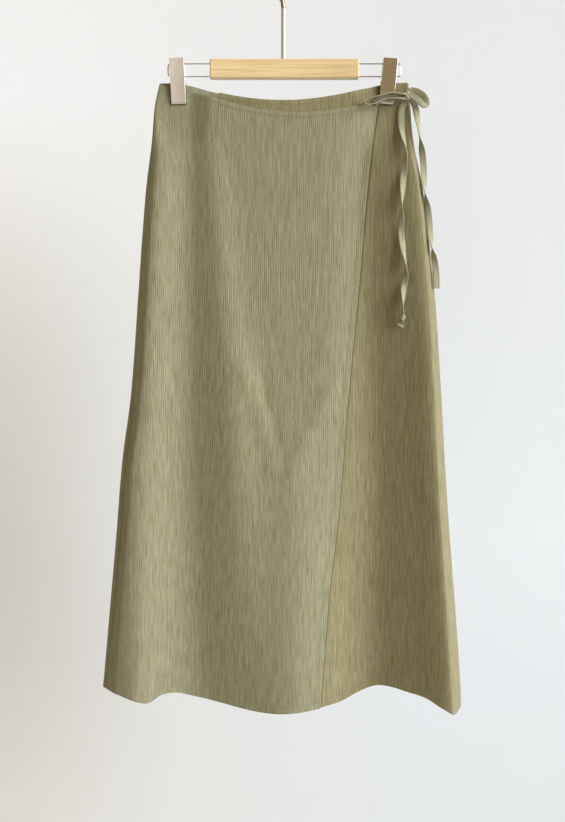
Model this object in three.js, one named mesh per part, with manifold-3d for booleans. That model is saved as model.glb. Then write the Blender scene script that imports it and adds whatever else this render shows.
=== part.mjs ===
// Long wrap skirt of crinkle crepe, hung by its waist from a wooden hanger with two metal clips.
// Millimetres. The origin is the inner top of the hook, where it rests on a rail.
// +X is to the right of the front view, the front faces -Y and +Z is up.
import * as THREE from "three";
import { mergeVertices } from "three/addons/utils/BufferGeometryUtils.js";
import Module from "manifold-3d";

const wasm = await Module();
wasm.setup();
const { smoothstep, lerp, degToRad } = THREE.MathUtils;

// Cloth
const WALL = 1.2; // thickness of the crepe
const SEAM_GAP = 0.3; // between two pieces at a seam
const LAYER_GAP = 0.6; // between the overlap and the panel under it
const LAYER_STEP = WALL + LAYER_GAP; // from the overlap's face to the under panel's face

// Outline seen from the front, by the drop below the hook. The sides turn back on a radius, and
// seam is how far the left seam lies in from the outline. front and back are the broad bulges.
const SECTIONS = [
  { drop: 150, left: -169.5, right: 171.5, leftTurn: 4, rightTurn: 4, seam: 0, front: 6, back: 5 },
  { drop: 180, left: -177, right: 174.7, leftTurn: 5, rightTurn: 5, seam: 0, front: 7, back: 6 },
  { drop: 230, left: -181.3, right: 178.6, leftTurn: 8, rightTurn: 8, seam: 0, front: 6, back: 8 },
  { drop: 300, left: -189.6, right: 192.4, leftTurn: 10, rightTurn: 10, seam: 0, front: 5, back: 9 },
  { drop: 380, left: -196, right: 202, leftTurn: 12, rightTurn: 12, seam: 0, front: 5, back: 10 },
  { drop: 460, left: -201.5, right: 209.8, leftTurn: 14, rightTurn: 15, seam: 2, front: 5, back: 11 },
  { drop: 590, left: -211.3, right: 218, leftTurn: 17, rightTurn: 18, seam: 7, front: 6, back: 12 },
  { drop: 670, left: -222, right: 222.2, leftTurn: 19, rightTurn: 20, seam: 13, front: 8, back: 13 },
  { drop: 780, left: -231, right: 229.3, leftTurn: 21, rightTurn: 22, seam: 15, front: 9, back: 14 },
  { drop: 890, left: -240.6, right: 237.8, leftTurn: 22, rightTurn: 25, seam: 14, front: 10, back: 14 },
  { drop: 990, left: -249.2, right: 244.3, leftTurn: 22, rightTurn: 27, seam: 10, front: 10, back: 14 },
];

// Free edge of the overlap, from its tied corner down to the hem
const OVERLAP_EDGE = [
  { drop: 180, x: 131 },
  { drop: 240, x: 121.5 },
  { drop: 330, x: 112 },
  { drop: 425, x: 104 },
  { drop: 535, x: 93 },
  { drop: 600, x: 86.5 },
  { drop: 692, x: 79 },
  { drop: 783, x: 70 },
  { drop: 826, x: 64 },
  { drop: 900, x: 57 },
  { drop: 1000, x: 49 },
];

// Free edge of the under panel, hidden behind the overlap
const HIDDEN_EDGE = { topDrop: 175, topX: -88, hemDrop: 1000, hemX: -49 };

// Top edges. The waist sags between the clips, and the overlap's top edge hangs lower.
const WAIST = { sideDrop: 154, halfSpan: 150, frontSag: 26, backSag: 21.5, power: 1.3 };
const OVERLAP_TOP = [
  { x: -172, drop: 155.5 },
  { x: -150, drop: 160.5 },
  { x: -133, drop: 165.7 },
  { x: -105, drop: 173 },
  { x: -71, drop: 184.5 },
  { x: -28, drop: 193.5 },
  { x: 16, drop: 197.5 },
  { x: 62, drop: 194 },
  { x: 92, drop: 189 },
  { x: 115, drop: 185.5 },
  { x: 131.5, drop: 185.5 },
];

// Hems. They drop on the ridges of the folds and rise in the valleys.
const FRONT_HEM = [
  { x: -240, drop: 983.5 },
  { x: -222, drop: 988 },
  { x: -196, drop: 996 },
  { x: -182, drop: 998.5 },
  { x: -165, drop: 989.5 },
  { x: -148, drop: 987.5 },
  { x: -120, drop: 993.5 },
  { x: -80, drop: 1001 },
  { x: -40, drop: 1008 },
  { x: -8, drop: 1010 },
  { x: 30, drop: 1007 },
  { x: 58, drop: 1003 },
  { x: 80, drop: 999.5 },
  { x: 104, drop: 989.5 },
  { x: 127, drop: 981.5 },
  { x: 145, drop: 982 },
  { x: 166, drop: 986.5 },
  { x: 190, drop: 992 },
  { x: 212, drop: 1004 },
  { x: 232, drop: 1012.5 },
  { x: 245, drop: 1012 },
];
const BACK_HEM = [
  { x: -250, drop: 984.5 },
  { x: -190, drop: 985 },
  { x: -110, drop: 978 },
  { x: -20, drop: 992 },
  { x: 70, drop: 980 },
  { x: 160, drop: 984 },
  { x: 215, drop: 1000 },
  { x: 246, drop: 1011 },
];

// Folds: where each one's middle lies, how wide it is and how far it stands out (a valley is
// negative), at its start, at mid length and at the hem.
const FOLD_MID_DROP = 672;
const FOLD_HEM_DROP = 1000;
const FOLD_RISE = { before: 40, after: 60 }; // a fold starts softly over this stretch
// The folds die out this near the sides
const LEFT_FADE = { least: 6, perTurn: 0.8 };
const RIGHT_FADE = { least: 4, perTurn: 0.6 };
const FRONT_FOLDS = [
  { name: "left ridge", start: 205, x: [-168, -190, -202], width: [16, 29, 34], depth: [3, 13, 20] },
  { name: "left valley", start: 215, x: [-130, -131, -118], width: [16, 26, 36], depth: [-3, -6, -9] },
  { name: "upper centre ridge", start: 235, x: [-98, -62, -42], width: [16, 32, 36], depth: [2, 9, 3] },
  { name: "lower centre ridge", start: 560, x: [8, 10, 12], width: [46, 46, 52], depth: [0, 7, 18] },
  { name: "right valley", start: 215, x: [112, 120, 116], width: [24, 38, 46], depth: [-5, -17, -24] },
  { name: "right ridge", start: 225, x: [176, 210, 232], width: [17, 33, 44], depth: [5, 17, 25] },
];
const BACK_FOLDS = [
  { name: "back left ridge", start: 220, x: [-120, -150, -178], width: [24, 38, 44], depth: [4, 15, 30] },
  { name: "back centre ridge", start: 215, x: [20, -8, -30], width: [26, 44, 56], depth: [4, 14, 33] },
  { name: "back right ridge", start: 220, x: [110, 128, 150], width: [22, 34, 46], depth: [4, 16, 34] },
];

// Slit at the left seam: the front lifts off the back panel and laps over it.
const SLIT = { liftStart: 605, liftEnd: 660, lift: 2.8, sideways: 1.1, reach: 32 };
const SLIT_LAP = { start: 645, end: 690, lap: 3 };

// How the cloth's grids are divided
const COLUMNS = { turn: 4, toHidden: 12, toEdge: 12, toRight: 10, backTurn: 7, backMiddle: 26 };
const ROWS = { count: 22, first: 0.045, power: 1.12 };
const BACK_CROWDING = 0.075; // moves the back's columns towards the sides, where the clips hold it
const NEAR = { columns: 0.02, share: 0.002 }; // steps for finding which way a panel faces
const PASSES = 4; // a point's height and place settle in this many rounds

// Hanger
const BAR = { left: -101.6, right: 104.1, topDrop: 121.8, height: 26.2, depth: 14, corner: 3.5, bevel: 2 };
const STEM = { x: -0.2, radius: 3.25, topDrop: 50.6, depthInBar: 14 };
const HOOK = { wireRadius: 2.95, innerRadius: 19, stepAngle: 12, tipAngle: -38, leaveAngle: 188 };
const HOOK_FOOT = [
  { x: -0.4, drop: 50.3 },
  { x: -0.8, drop: 45.5 },
  { x: -2.2, drop: 39.5 },
  { x: -6.6, drop: 34.4 },
  { x: -13, drop: 30.4 },
  { x: -18.6, drop: 26.4 },
];
const RAIL = { radius: 0.95, bend: 4, inBar: 16, bore: 1.3, upperDrop: 127.2, lowerDrop: 144.8 };
const RAILS = [
  { name: "left_rail", end: -159.1 },
  { name: "right_rail", end: 162.1 },
];
const CLIP = { width: 20, topDrop: 122.7 };
const CLIPS = [
  { name: "left_clip", x: -146.5, lean: -2.1, gripX: -144.8 },
  { name: "right_clip", x: 147, lean: 5.3, gripX: 142.5 },
];
// Where a clip presses the cloth flat: half the width, and the drop at which the cloth is free
const GRIP = { half: 15, fade: 30, drop: 200, endDrop: 270 };
// Side view of a jaw, as distance from the middle plane and drop below the clip's top
const JAW = [
  { away: 12.6, drop: 0 },
  { away: 10.8, drop: 24 },
  { away: 5, drop: 55.5 },
  { away: 4.3, drop: 59.4 },
  { away: 3.2, drop: 60.7 },
  { away: 1.65, drop: 60.7 },
  { away: 1.65, drop: 52 },
  { away: 3.4, drop: 46 },
  { away: 9.3, drop: 24 },
  { away: 11.1, drop: 0 },
];
const EAR = { thickness: 1, gap: 0.4, top: 1, bottom: 29, topAway: 11.4, bottomAway: 8.2, past: 3.6 };
const EAR_HOLE = 2.2; // radius of the holes for the rails
const SPRING = { inner: 1.9, outer: 4.6, groove: 0.7, turns: 4, pitch: 2.6 };

// Ties. The band is a folded strip. Each row is a point on its middle line, and twist turns its
// flat face away from the front.
const BAND = { width: 9, thickness: 1.5, clear: 3.1, pocket: 0.3 };
const KNOT = { x: 169, drop: 175, y: -13.4, halfWidth: 4.8, halfDepth: 4.8, halfHeight: 7.6 };
const FRONT_TAIL = [
  { x: 166.4, drop: 181, twist: 4 },
  { x: 163.9, drop: 186.4, twist: 0 },
  { x: 162, drop: 194.6, twist: 0 },
  { x: 161.8, drop: 213, twist: -6 },
  { x: 163.8, drop: 232, twist: -44 },
  { x: 166.6, drop: 250, twist: -90 },
  { x: 165.6, drop: 268, twist: -138 },
  { x: 163.4, drop: 287, twist: -180 },
  { x: 162, drop: 308, twist: -222 },
  { x: 160.7, drop: 328, twist: -270 },
  { x: 160.2, drop: 345, twist: -322 },
  { x: 160.5, drop: 363, twist: -360 },
  { x: 163, drop: 388, twist: -402 },
  { x: 166.4, drop: 411, twist: -450 },
  { x: 165.4, drop: 424, twist: -502 },
  { x: 163.8, drop: 436, twist: -540 },
  { x: 162.6, drop: 451, twist: -590 },
  { x: 161.8, drop: 465, twist: -628 },
  { x: 161.7, drop: 475.6, twist: -640 },
];
const TAIL_KNOT = { drop: 478.5, halfWidth: 4, halfDepth: 3.6, halfHeight: 5.4 };
const TAIL_END = [
  { x: 161.5, drop: 481.6, twist: -655 },
  { x: 159.9, drop: 487.5, twist: -690 },
  { x: 158.4, drop: 490.8, twist: -712 },
];
const BACK_TAIL = [
  { x: 172.4, drop: 176.8, y: -12, twist: 14 },
  { x: 177.8, drop: 183, y: -10.8, twist: 12 },
  { x: 181.4, drop: 193, y: -10, twist: 0 },
  { x: 184.4, drop: 211, y: -9.8, twist: -40 },
  { x: 187, drop: 233, y: -9.8, twist: -90 },
  { x: 189.8, drop: 249, y: -9.8, twist: -148 },
  { x: 191.7, drop: 268, y: -10, twist: -180 },
  { x: 192.6, drop: 290, y: -10.4, twist: -214 },
  { x: 194.2, drop: 310, y: -10.8, twist: -270 },
  { x: 196.8, drop: 325, y: -11.2, twist: -326 },
  { x: 199.4, drop: 346, y: -11.6, twist: -360 },
  { x: 201.4, drop: 367, y: -12.2, twist: -392 },
  { x: 203.5, drop: 385, y: -12.8, twist: -450 },
  { x: 206.2, drop: 398, y: -13.2, twist: -508 },
  { x: 208.4, drop: 415, y: -13.6, twist: -540 },
  { x: 209.2, drop: 438.5, y: -14, twist: -546 },
];
const LEFT_LOOP = [
  { x: 167.2, drop: 172.6, y: -16.8, twist: 46 },
  { x: 160, drop: 173.8, y: -18, twist: 84 },
  { x: 148, drop: 172.8, y: -18.4, twist: 92 },
  { x: 138.6, drop: 173.8, y: -18.2, twist: 80 },
  { x: 128, drop: 176.4, y: -17.8, twist: 74 },
  { x: 116.4, drop: 179.4, y: -17, twist: 78 },
  { x: 110.4, drop: 183, y: -16.4, twist: 90 },
  { x: 113, drop: 187.4, y: -16, twist: 98 },
  { x: 124, drop: 186, y: -15.8, twist: 102 },
  { x: 138, drop: 180.4, y: -15.8, twist: 102 },
  { x: 151, drop: 178.6, y: -15.8, twist: 104 },
  { x: 166.4, drop: 178.4, y: -16, twist: 132 },
];
const RIGHT_LOOP = [
  { x: 171.4, drop: 168.6, y: -12, twist: 40 },
  { x: 177, drop: 167.6, y: -12, twist: 34 },
  { x: 184, drop: 169.6, y: -12, twist: 28 },
  { x: 190.4, drop: 173.4, y: -12, twist: 24 },
  { x: 194.6, drop: 179.6, y: -12.6, twist: 20 },
  { x: 195, drop: 186.4, y: -14.4, twist: 10 },
  { x: 191.4, drop: 188.2, y: -16.6, twist: 4 },
  { x: 184.6, drop: 182.2, y: -17.6, twist: 0 },
  { x: 173, drop: 173, y: -16, twist: 8 },
];
const STRAP = [
  { x: 126, drop: 183, y: -6, twist: 0 },
  { x: 132, drop: 178.6, y: -7.8, twist: 14 },
  { x: 141, drop: 174.6, y: -9.5, twist: 30 },
  { x: 153, drop: 173.4, y: -9.8, twist: 28 },
  { x: 165.6, drop: 174.2, y: -10.6, twist: 14 },
];

// Colours, as roughness and metalness beside them
const FINISH = {
  overlap: { color: 0x92906f, roughness: 0.9, metalness: 0 },
  under: { color: 0x8a8765, roughness: 0.9, metalness: 0 },
  back: { color: 0x86835f, roughness: 0.9, metalness: 0 },
  tie: { color: 0x9a9674, roughness: 0.9, metalness: 0 },
  wood: { color: 0xe4cc9c, roughness: 0.5, metalness: 0 },
  stem: { color: 0xd4cebb, roughness: 0.3, metalness: 0.8 },
  hook: { color: 0x7a6552, roughness: 0.3, metalness: 0.9 },
  rail: { color: 0xd5d0c7, roughness: 0.3, metalness: 1 },
  clip: { color: 0xcabea4, roughness: 0.25, metalness: 1 },
};

const skirt = new THREE.Group();

function addPiece(name, finish, geometry, parent = skirt) {
  const mesh = new THREE.Mesh(geometry, new THREE.MeshStandardMaterial(FINISH[finish]));
  mesh.name = name;
  parent.add(mesh);
  return mesh;
}

// Reads a short table smoothly between its rows.
function tableReader(rows, key) {
  const columns = Object.keys(rows[0]).filter((name) => name !== key);
  const curve = new THREE.CubicInterpolant(
    rows.map((row) => row[key]),
    rows.flatMap((row) => columns.map((name) => row[name])),
    columns.length,
    new Float32Array(columns.length),
  );
  return (at) => {
    const values = curve.evaluate(at);
    return Object.fromEntries(columns.map((name, i) => [name, values[i]]));
  };
}

const sectionAt = tableReader(SECTIONS, "drop");
const overlapEdgeAt = tableReader(OVERLAP_EDGE, "drop");
const overlapTopAt = tableReader(OVERLAP_TOP, "x");
const frontHemAt = tableReader(FRONT_HEM, "x");
const backHemAt = tableReader(BACK_HEM, "x");

function hiddenEdgeAt(drop) {
  const share = (drop - HIDDEN_EDGE.topDrop) / (HIDDEN_EDGE.hemDrop - HIDDEN_EDGE.topDrop);
  return lerp(HIDDEN_EDGE.topX, HIDDEN_EDGE.hemX, share);
}

// The sagging top edge of the under panel or the back.
function waistDrop(x, sag) {
  const inside = Math.max(0, 1 - (x / WAIST.halfSpan) ** 2);
  return WAIST.sideDrop + sag * inside ** WAIST.power;
}

// How much a clip presses the cloth flat at a place, from 0 to 1.
function gripAt(x, drop) {
  const along = 1 - smoothstep(drop, GRIP.drop, GRIP.endDrop);
  const across = CLIPS.map((clip) => 1 - smoothstep(Math.abs(x - clip.gripX), GRIP.half, GRIP.fade));
  return along * Math.max(...across);
}

// A value given at a fold's start, at mid length and at the hem.
function alongFold(values, start, drop) {
  const [first, middle, last] = values;
  if (drop < FOLD_MID_DROP) {
    return lerp(first, middle, (drop - start) / (FOLD_MID_DROP - start));
  }
  return lerp(middle, last, (drop - FOLD_MID_DROP) / (FOLD_HEM_DROP - FOLD_MID_DROP));
}

function foldDepth(folds, x, drop) {
  return folds.reduce((sum, fold) => {
    const begun = smoothstep(drop, fold.start - FOLD_RISE.before, fold.start + FOLD_RISE.after);
    if (begun === 0) return sum;
    const at = Math.max(drop, fold.start);
    const across = (x - alongFold(fold.x, fold.start, at)) / alongFold(fold.width, fold.start, at);
    return sum + begun * alongFold(fold.depth, fold.start, at) * Math.exp(-across * across);
  }, 0);
}

// How far the middle of a panel stands out from the plane between front and back.
function standOff(x, drop, turn, section, folds, bulge, stack) {
  const { left, right, leftTurn, rightTurn } = section;
  const nearLeft = smoothstep(x - left, 0, LEFT_FADE.least + LEFT_FADE.perTurn * leftTurn);
  const nearRight = smoothstep(right - x, 0, RIGHT_FADE.least + RIGHT_FADE.perTurn * rightTurn);
  const broad = section[bulge] * Math.sin(Math.PI * THREE.MathUtils.clamp((x - left) / (right - left), 0, 1));
  const free = turn + (broad + foldDepth(folds, x, drop)) * nearLeft * nearRight;
  return SEAM_GAP / 2 + lerp(free, stack, gripAt(x, drop));
}

// Columns of the front: round the left side, to the hidden edge, to the overlap's edge, to the
// right side and round it.
const FIRST = COLUMNS.turn;
const HIDDEN = FIRST + COLUMNS.toHidden;
const EDGE = HIDDEN + COLUMNS.toEdge;
const LAST = EDGE + COLUMNS.toRight;
const FRONT_END = LAST + COLUMNS.turn;

// The angle round the left side at which the seam lies, from 0 at the outline.
function seamAngle({ seam, leftTurn }) {
  return Math.acos(1 - Math.max(0, seam) / leftTurn);
}

// The overlap's face, carried on to the right side, where only the under panel follows it.
function frontPoint(column, drop) {
  const section = sectionAt(drop);
  section.right += LAYER_STEP;
  section.rightTurn += LAYER_STEP;
  const { left, right, leftTurn, rightTurn, seam } = section;
  const edges = [
    left + leftTurn,
    hiddenEdgeAt(drop),
    overlapEdgeAt(drop).x,
    right - rightTurn,
  ];
  let x;
  let turn;
  if (column < FIRST) {
    const lap = SLIT_LAP.lap * smoothstep(drop, SLIT_LAP.start, SLIT_LAP.end);
    const from = seamAngle(section) + (SEAM_GAP - lap) / leftTurn;
    const angle = lerp(from, Math.PI / 2, column / FIRST);
    x = left + leftTurn * (1 - Math.cos(angle));
    turn = leftTurn * Math.sin(angle);
  } else if (column > LAST) {
    const angle = lerp(Math.PI / 2, 0, (column - LAST) / COLUMNS.turn);
    x = right - rightTurn * (1 - Math.cos(angle));
    turn = rightTurn * Math.sin(angle);
  } else {
    const stops = [FIRST, HIDDEN, EDGE, LAST];
    const k = stops.findIndex((stop, i) => column <= stops[i + 1]);
    x = lerp(edges[k], edges[k + 1], (column - stops[k]) / (stops[k + 1] - stops[k]));
    turn = lerp(leftTurn, rightTurn, (x - edges[0]) / (edges[3] - edges[0]));
  }
  const open = smoothstep(drop, SLIT.liftStart, SLIT.liftEnd);
  const lift = open * (1 - smoothstep(x - left - seam, 0, SLIT.reach));
  const stack = x > 0 ? WALL + LAYER_STEP : WALL;
  const y = -standOff(x, drop, turn, section, FRONT_FOLDS, "front", stack);
  return new THREE.Vector3(x - lift * SLIT.sideways, y - lift * SLIT.lift, -drop);
}

// Columns of the back: from the left seam round the side, across and round the right side.
const BACK_LAST = COLUMNS.backTurn + COLUMNS.backMiddle;
const BACK_END = BACK_LAST + COLUMNS.turn;

function backPoint(column, drop) {
  const section = sectionAt(drop);
  const { left, right, leftTurn, rightTurn } = section;
  let x;
  let turn;
  if (column < COLUMNS.backTurn) {
    const angle = lerp(-seamAngle(section), Math.PI / 2, column / COLUMNS.backTurn);
    x = left + leftTurn * (1 - Math.cos(angle));
    turn = leftTurn * Math.sin(angle);
    if (angle < 0) return new THREE.Vector3(x, turn + SEAM_GAP / 2, -drop);
  } else if (column > BACK_LAST) {
    const angle = lerp(Math.PI / 2, 0, (column - BACK_LAST) / COLUMNS.turn);
    x = right - rightTurn * (1 - Math.cos(angle));
    turn = rightTurn * Math.sin(angle);
  } else {
    const even = (column - COLUMNS.backTurn) / COLUMNS.backMiddle;
    const share = even - BACK_CROWDING * Math.sin(2 * Math.PI * even);
    x = lerp(left + leftTurn, right - rightTurn, share);
    turn = lerp(leftTurn, rightTurn, share);
  }
  return new THREE.Vector3(
    x,
    standOff(x, drop, turn, section, BACK_FOLDS, "back", WALL),
    -drop,
  );
}

// A point of a panel by column and by share of the way from its top edge to its hem. The shares
// are the same on every layer of the front, so its layers keep their distance.
function onPanel(pointAt, column, share, topAt, sharedTopAt, hemAt) {
  const levels = [topAt, sharedTopAt, hemAt];
  let point = pointAt(column, lerp(WAIST.sideDrop, FOLD_HEM_DROP, share));
  for (let pass = 0; pass < PASSES; pass++) {
    const [own, shared, hem] = levels.map((level) => level(point.x));
    const level = share < ROWS.first
      ? lerp(own, lerp(shared, hem, ROWS.first), share / ROWS.first)
      : lerp(shared, hem, share);
    point = pointAt(column, level);
  }
  return point;
}

function rowShare(row) {
  if (row <= 1) return row * ROWS.first;
  return ROWS.first + (1 - ROWS.first) * ((row - 1) / (ROWS.count - 1)) ** ROWS.power;
}

// A closed wall between two copies of a panel's grid, one moved out by outer and the other by
// outer less the cloth's thickness. facing is -1 on the front and 1 on the back.
function clothWall({ from, to, at, facing, outer }) {
  const wide = to - from;
  const high = ROWS.count;
  const positions = [];
  for (const offset of [outer, outer - WALL]) {
    for (let row = 0; row <= high; row++) {
      for (let column = from; column <= to; column++) {
        const share = rowShare(row);
        const across = at(column + NEAR.columns, share).sub(at(column - NEAR.columns, share));
        const down = at(column, share + NEAR.share).sub(at(column, share - NEAR.share));
        const normal = across.cross(down).normalize().multiplyScalar(facing);
        positions.push(...at(column, share).addScaledVector(normal, offset).toArray());
      }
    }
  }
  const stride = wide + 1;
  const layer = stride * (high + 1);
  const faces = [];
  const quad = (a, b, c, d) => faces.push([a, b, c], [a, c, d]);
  for (let row = 0; row < high; row++) {
    for (let i = 0; i < wide; i++) {
      const a = row * stride + i;
      const below = a + stride;
      faces.push([a, below, below + 1], [a, below + 1, a + 1]);
      faces.push([a + layer, below + 1 + layer, below + layer]);
      faces.push([a + layer, a + 1 + layer, below + 1 + layer]);
    }
  }
  for (let i = 0; i < wide; i++) {
    const last = high * stride + i;
    quad(i, i + 1, i + 1 + layer, i + layer);
    quad(last + 1, last, last + layer, last + 1 + layer);
  }
  for (let row = 0; row < high; row++) {
    const first = row * stride;
    const last = first + wide;
    quad(first + stride, first, first + layer, first + stride + layer);
    quad(last, last + stride, last + stride + layer, last + layer);
  }
  if (facing > 0) faces.forEach((face) => face.reverse());
  return closedGeometry(positions, faces);
}

function closedGeometry(positions, faces) {
  const geometry = new THREE.BufferGeometry();
  geometry.setAttribute("position", new THREE.Float32BufferAttribute(positions, 3));
  geometry.setIndex(faces.flat());
  geometry.computeVertexNormals();
  return geometry;
}

// Panels
const frontWaist = (x) => waistDrop(x, WAIST.frontSag);
const backWaist = (x) => waistDrop(x, WAIST.backSag);
const overlapTop = (x) => overlapTopAt(x).drop;
const frontHem = (x) => frontHemAt(x).drop;
const backHem = (x) => backHemAt(x).drop;

addPiece("front_overlap", "overlap", clothWall({
  from: 0,
  to: EDGE,
  at: (column, share) => onPanel(frontPoint, column, share, overlapTop, frontWaist, frontHem),
  facing: -1,
  outer: 0,
}));
addPiece("front_under", "under", clothWall({
  from: HIDDEN,
  to: FRONT_END,
  at: (column, share) => onPanel(frontPoint, column, share, frontWaist, frontWaist, frontHem),
  facing: -1,
  outer: -LAYER_STEP,
}));
addPiece("back_panel", "back", clothWall({
  from: 0,
  to: BACK_END,
  at: (column, share) => onPanel(backPoint, column, share, backWaist, backWaist, backHem),
  facing: 1,
  outer: 0,
}));

// Ties

const FORWARD = new THREE.Vector3(0, -1, 0);

// A flat band along a table of points, twisted about its middle line by the table's twist.
// grow makes it that much larger all round, for the pocket that it lies in.
function band(rows, steps, grow = 0) {
  const line = new THREE.CatmullRomCurve3(
    rows.map((row) => new THREE.Vector3(row.x, row.y, -row.drop)),
  );
  const twistAt = tableReader(
    rows.map((row, i) => ({ at: i / (rows.length - 1), twist: row.twist })),
    "at",
  );
  const positions = [];
  for (let step = 0; step <= steps; step++) {
    const share = step / steps;
    const along = line.getTangent(share);
    const past = step === 0 ? -grow : step === steps ? grow : 0;
    const middle = line.getPoint(share).addScaledVector(along, past);
    const face = FORWARD.clone().addScaledVector(along, -FORWARD.dot(along)).normalize();
    face.applyAxisAngle(along, degToRad(twistAt(share).twist));
    const across = along.clone().cross(face);
    for (const [side, depth] of [[-1, -1], [1, -1], [1, 1], [-1, 1]]) {
      const corner = middle.clone().addScaledVector(across, side * (BAND.width / 2 + grow));
      corner.addScaledVector(face, depth * (BAND.thickness / 2 + grow));
      positions.push(...corner.toArray());
    }
  }
  return tubeGeometry(positions, steps, 4);
}

// A closed tube from rings of points, each ring going the same way round.
function tubeGeometry(positions, steps, sides) {
  const faces = [];
  for (let step = 0; step < steps; step++) {
    for (let side = 0; side < sides; side++) {
      const a = step * sides + side;
      const b = step * sides + ((side + 1) % sides);
      faces.push([a, b + sides, b], [a, a + sides, b + sides]);
    }
  }
  const end = steps * sides;
  for (let side = 1; side < sides - 1; side++) {
    faces.push([0, side, side + 1], [end, end + side + 1, end + side]);
  }
  return closedGeometry(positions, faces);
}

// Puts points just in front of the panel behind them, with room for the twisted band.
function offPanel(rows) {
  return rows.map((row) => {
    const section = sectionAt(row.drop);
    const panel = standOff(row.x, row.drop, section.rightTurn, section, FRONT_FOLDS, "front", WALL);
    const reach = (BAND.width / 2) * Math.abs(Math.sin(degToRad(row.twist)));
    return { ...row, y: -panel - reach - BAND.thickness / 2 - BAND.clear };
  });
}

function lump({ x, y, drop, halfWidth, halfDepth, halfHeight }) {
  const geometry = new THREE.SphereGeometry(1, 12, 8);
  geometry.scale(halfWidth, halfHeight, halfDepth);
  geometry.rotateX(Math.PI / 2);
  geometry.translate(x, y, -drop);
  return geometry;
}

// Solids for cutting and joining

function solidOf(geometry) {
  const bare = (geometry.index ? geometry.toNonIndexed() : geometry.clone());
  bare.deleteAttribute("normal");
  bare.deleteAttribute("uv");
  const merged = mergeVertices(bare, 1e-4);
  return new wasm.Manifold(new wasm.Mesh({
    numProp: 3,
    vertProperties: merged.attributes.position.array,
    triVerts: new Uint32Array(merged.index.array),
  }));
}

function geometryOf(solid) {
  const mesh = solid.getMesh();
  const geometry = new THREE.BufferGeometry();
  geometry.setAttribute("position", new THREE.BufferAttribute(mesh.vertProperties, 3));
  geometry.setIndex(new THREE.BufferAttribute(mesh.triVerts, 1));
  geometry.computeVertexNormals();
  return geometry;
}

const TIES = [
  { name: "tie_strap", rows: STRAP, steps: 8 },
  { name: "bow_loop_left", rows: LEFT_LOOP, steps: 24 },
  { name: "bow_loop_right", rows: RIGHT_LOOP, steps: 18 },
  { name: "tie_tail_front", rows: offPanel(FRONT_TAIL), steps: 40 },
  { name: "tie_end", rows: offPanel(TAIL_END), steps: 4 },
  { name: "tie_tail_back", rows: BACK_TAIL, steps: 34 },
];

// A knot has a pocket for each band that runs into it.
function knotGeometry(shape) {
  let knot = solidOf(lump(shape));
  for (const tie of TIES) {
    knot = knot.subtract(solidOf(band(tie.rows, tie.steps, BAND.pocket)));
  }
  return geometryOf(knot);
}

for (const tie of TIES) {
  addPiece(tie.name, "tie", band(tie.rows, tie.steps));
}
const tailFoot = TIES.find((tie) => tie.name === "tie_tail_front").rows.at(-1);
addPiece("bow_knot", "tie", knotGeometry(KNOT));
addPiece("tie_end_knot", "tie", knotGeometry({ ...TAIL_KNOT, x: tailFoot.x, y: tailFoot.y }));

// Hanger

// A round rod between two points.
function rod(from, to, radius, sides = 16) {
  const axis = to.clone().sub(from);
  const geometry = new THREE.CylinderGeometry(radius, radius, axis.length(), sides);
  const turn = new THREE.Quaternion().setFromUnitVectors(
    new THREE.Vector3(0, 1, 0),
    axis.clone().normalize(),
  );
  geometry.applyQuaternion(turn);
  geometry.translate(...from.clone().add(to).multiplyScalar(0.5).toArray());
  return geometry;
}

// A round wire along a curve.
function wire(curve, radius, steps, sides = 10) {
  const section = new THREE.Shape().absarc(0, 0, radius, 0, 2 * Math.PI);
  const points = section.getSpacedPoints(sides).slice(0, sides);
  return new THREE.ExtrudeGeometry(new THREE.Shape(points), {
    steps,
    bevelEnabled: false,
    extrudePath: curve,
  });
}

function barGeometry() {
  const { left, right, topDrop, height, depth, corner, bevel } = BAR;
  const [x0, x1] = [left + bevel, right - bevel];
  const [z0, z1] = [-topDrop - height + bevel, -topDrop - bevel];
  const round = corner - bevel;
  const outline = new THREE.Shape();
  outline.absarc(x1 - round, z1 - round, round, 0, Math.PI / 2);
  outline.absarc(x0 + round, z1 - round, round, Math.PI / 2, Math.PI);
  outline.absarc(x0 + round, z0 + round, round, Math.PI, 1.5 * Math.PI);
  outline.absarc(x1 - round, z0 + round, round, 1.5 * Math.PI, 2 * Math.PI);
  const geometry = new THREE.ExtrudeGeometry(outline, {
    depth: depth - 2 * bevel,
    bevelThickness: bevel,
    bevelSize: bevel,
    bevelSegments: 3,
    curveSegments: 4,
  });
  geometry.translate(0, 0, bevel - depth / 2);
  geometry.rotateX(Math.PI / 2);
  return geometry;
}

// The bar is bored for the stem and for the legs of the two rails.
let bar = solidOf(barGeometry());
const place = (x, drop) => new THREE.Vector3(x, 0, -drop);
const past = 2; // a bore starts this far outside the wood
bar = bar.subtract(solidOf(rod(
  place(STEM.x, BAR.topDrop - past),
  place(STEM.x, BAR.topDrop + STEM.depthInBar + SEAM_GAP),
  STEM.radius + SEAM_GAP,
)));
for (const rail of RAILS) {
  const outwards = Math.sign(rail.end);
  const end = outwards < 0 ? BAR.left : BAR.right;
  for (const drop of [RAIL.upperDrop, RAIL.lowerDrop]) {
    bar = bar.subtract(solidOf(rod(
      place(end + outwards * past, drop),
      place(end - outwards * (RAIL.inBar + SEAM_GAP), drop),
      RAIL.bore,
      12,
    )));
  }
}
addPiece("hanger_bar", "wood", geometryOf(bar));
addPiece("hanger_stem", "stem", rod(
  place(STEM.x, STEM.topDrop),
  place(STEM.x, BAR.topDrop + STEM.depthInBar),
  STEM.radius,
  20,
));

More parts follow.
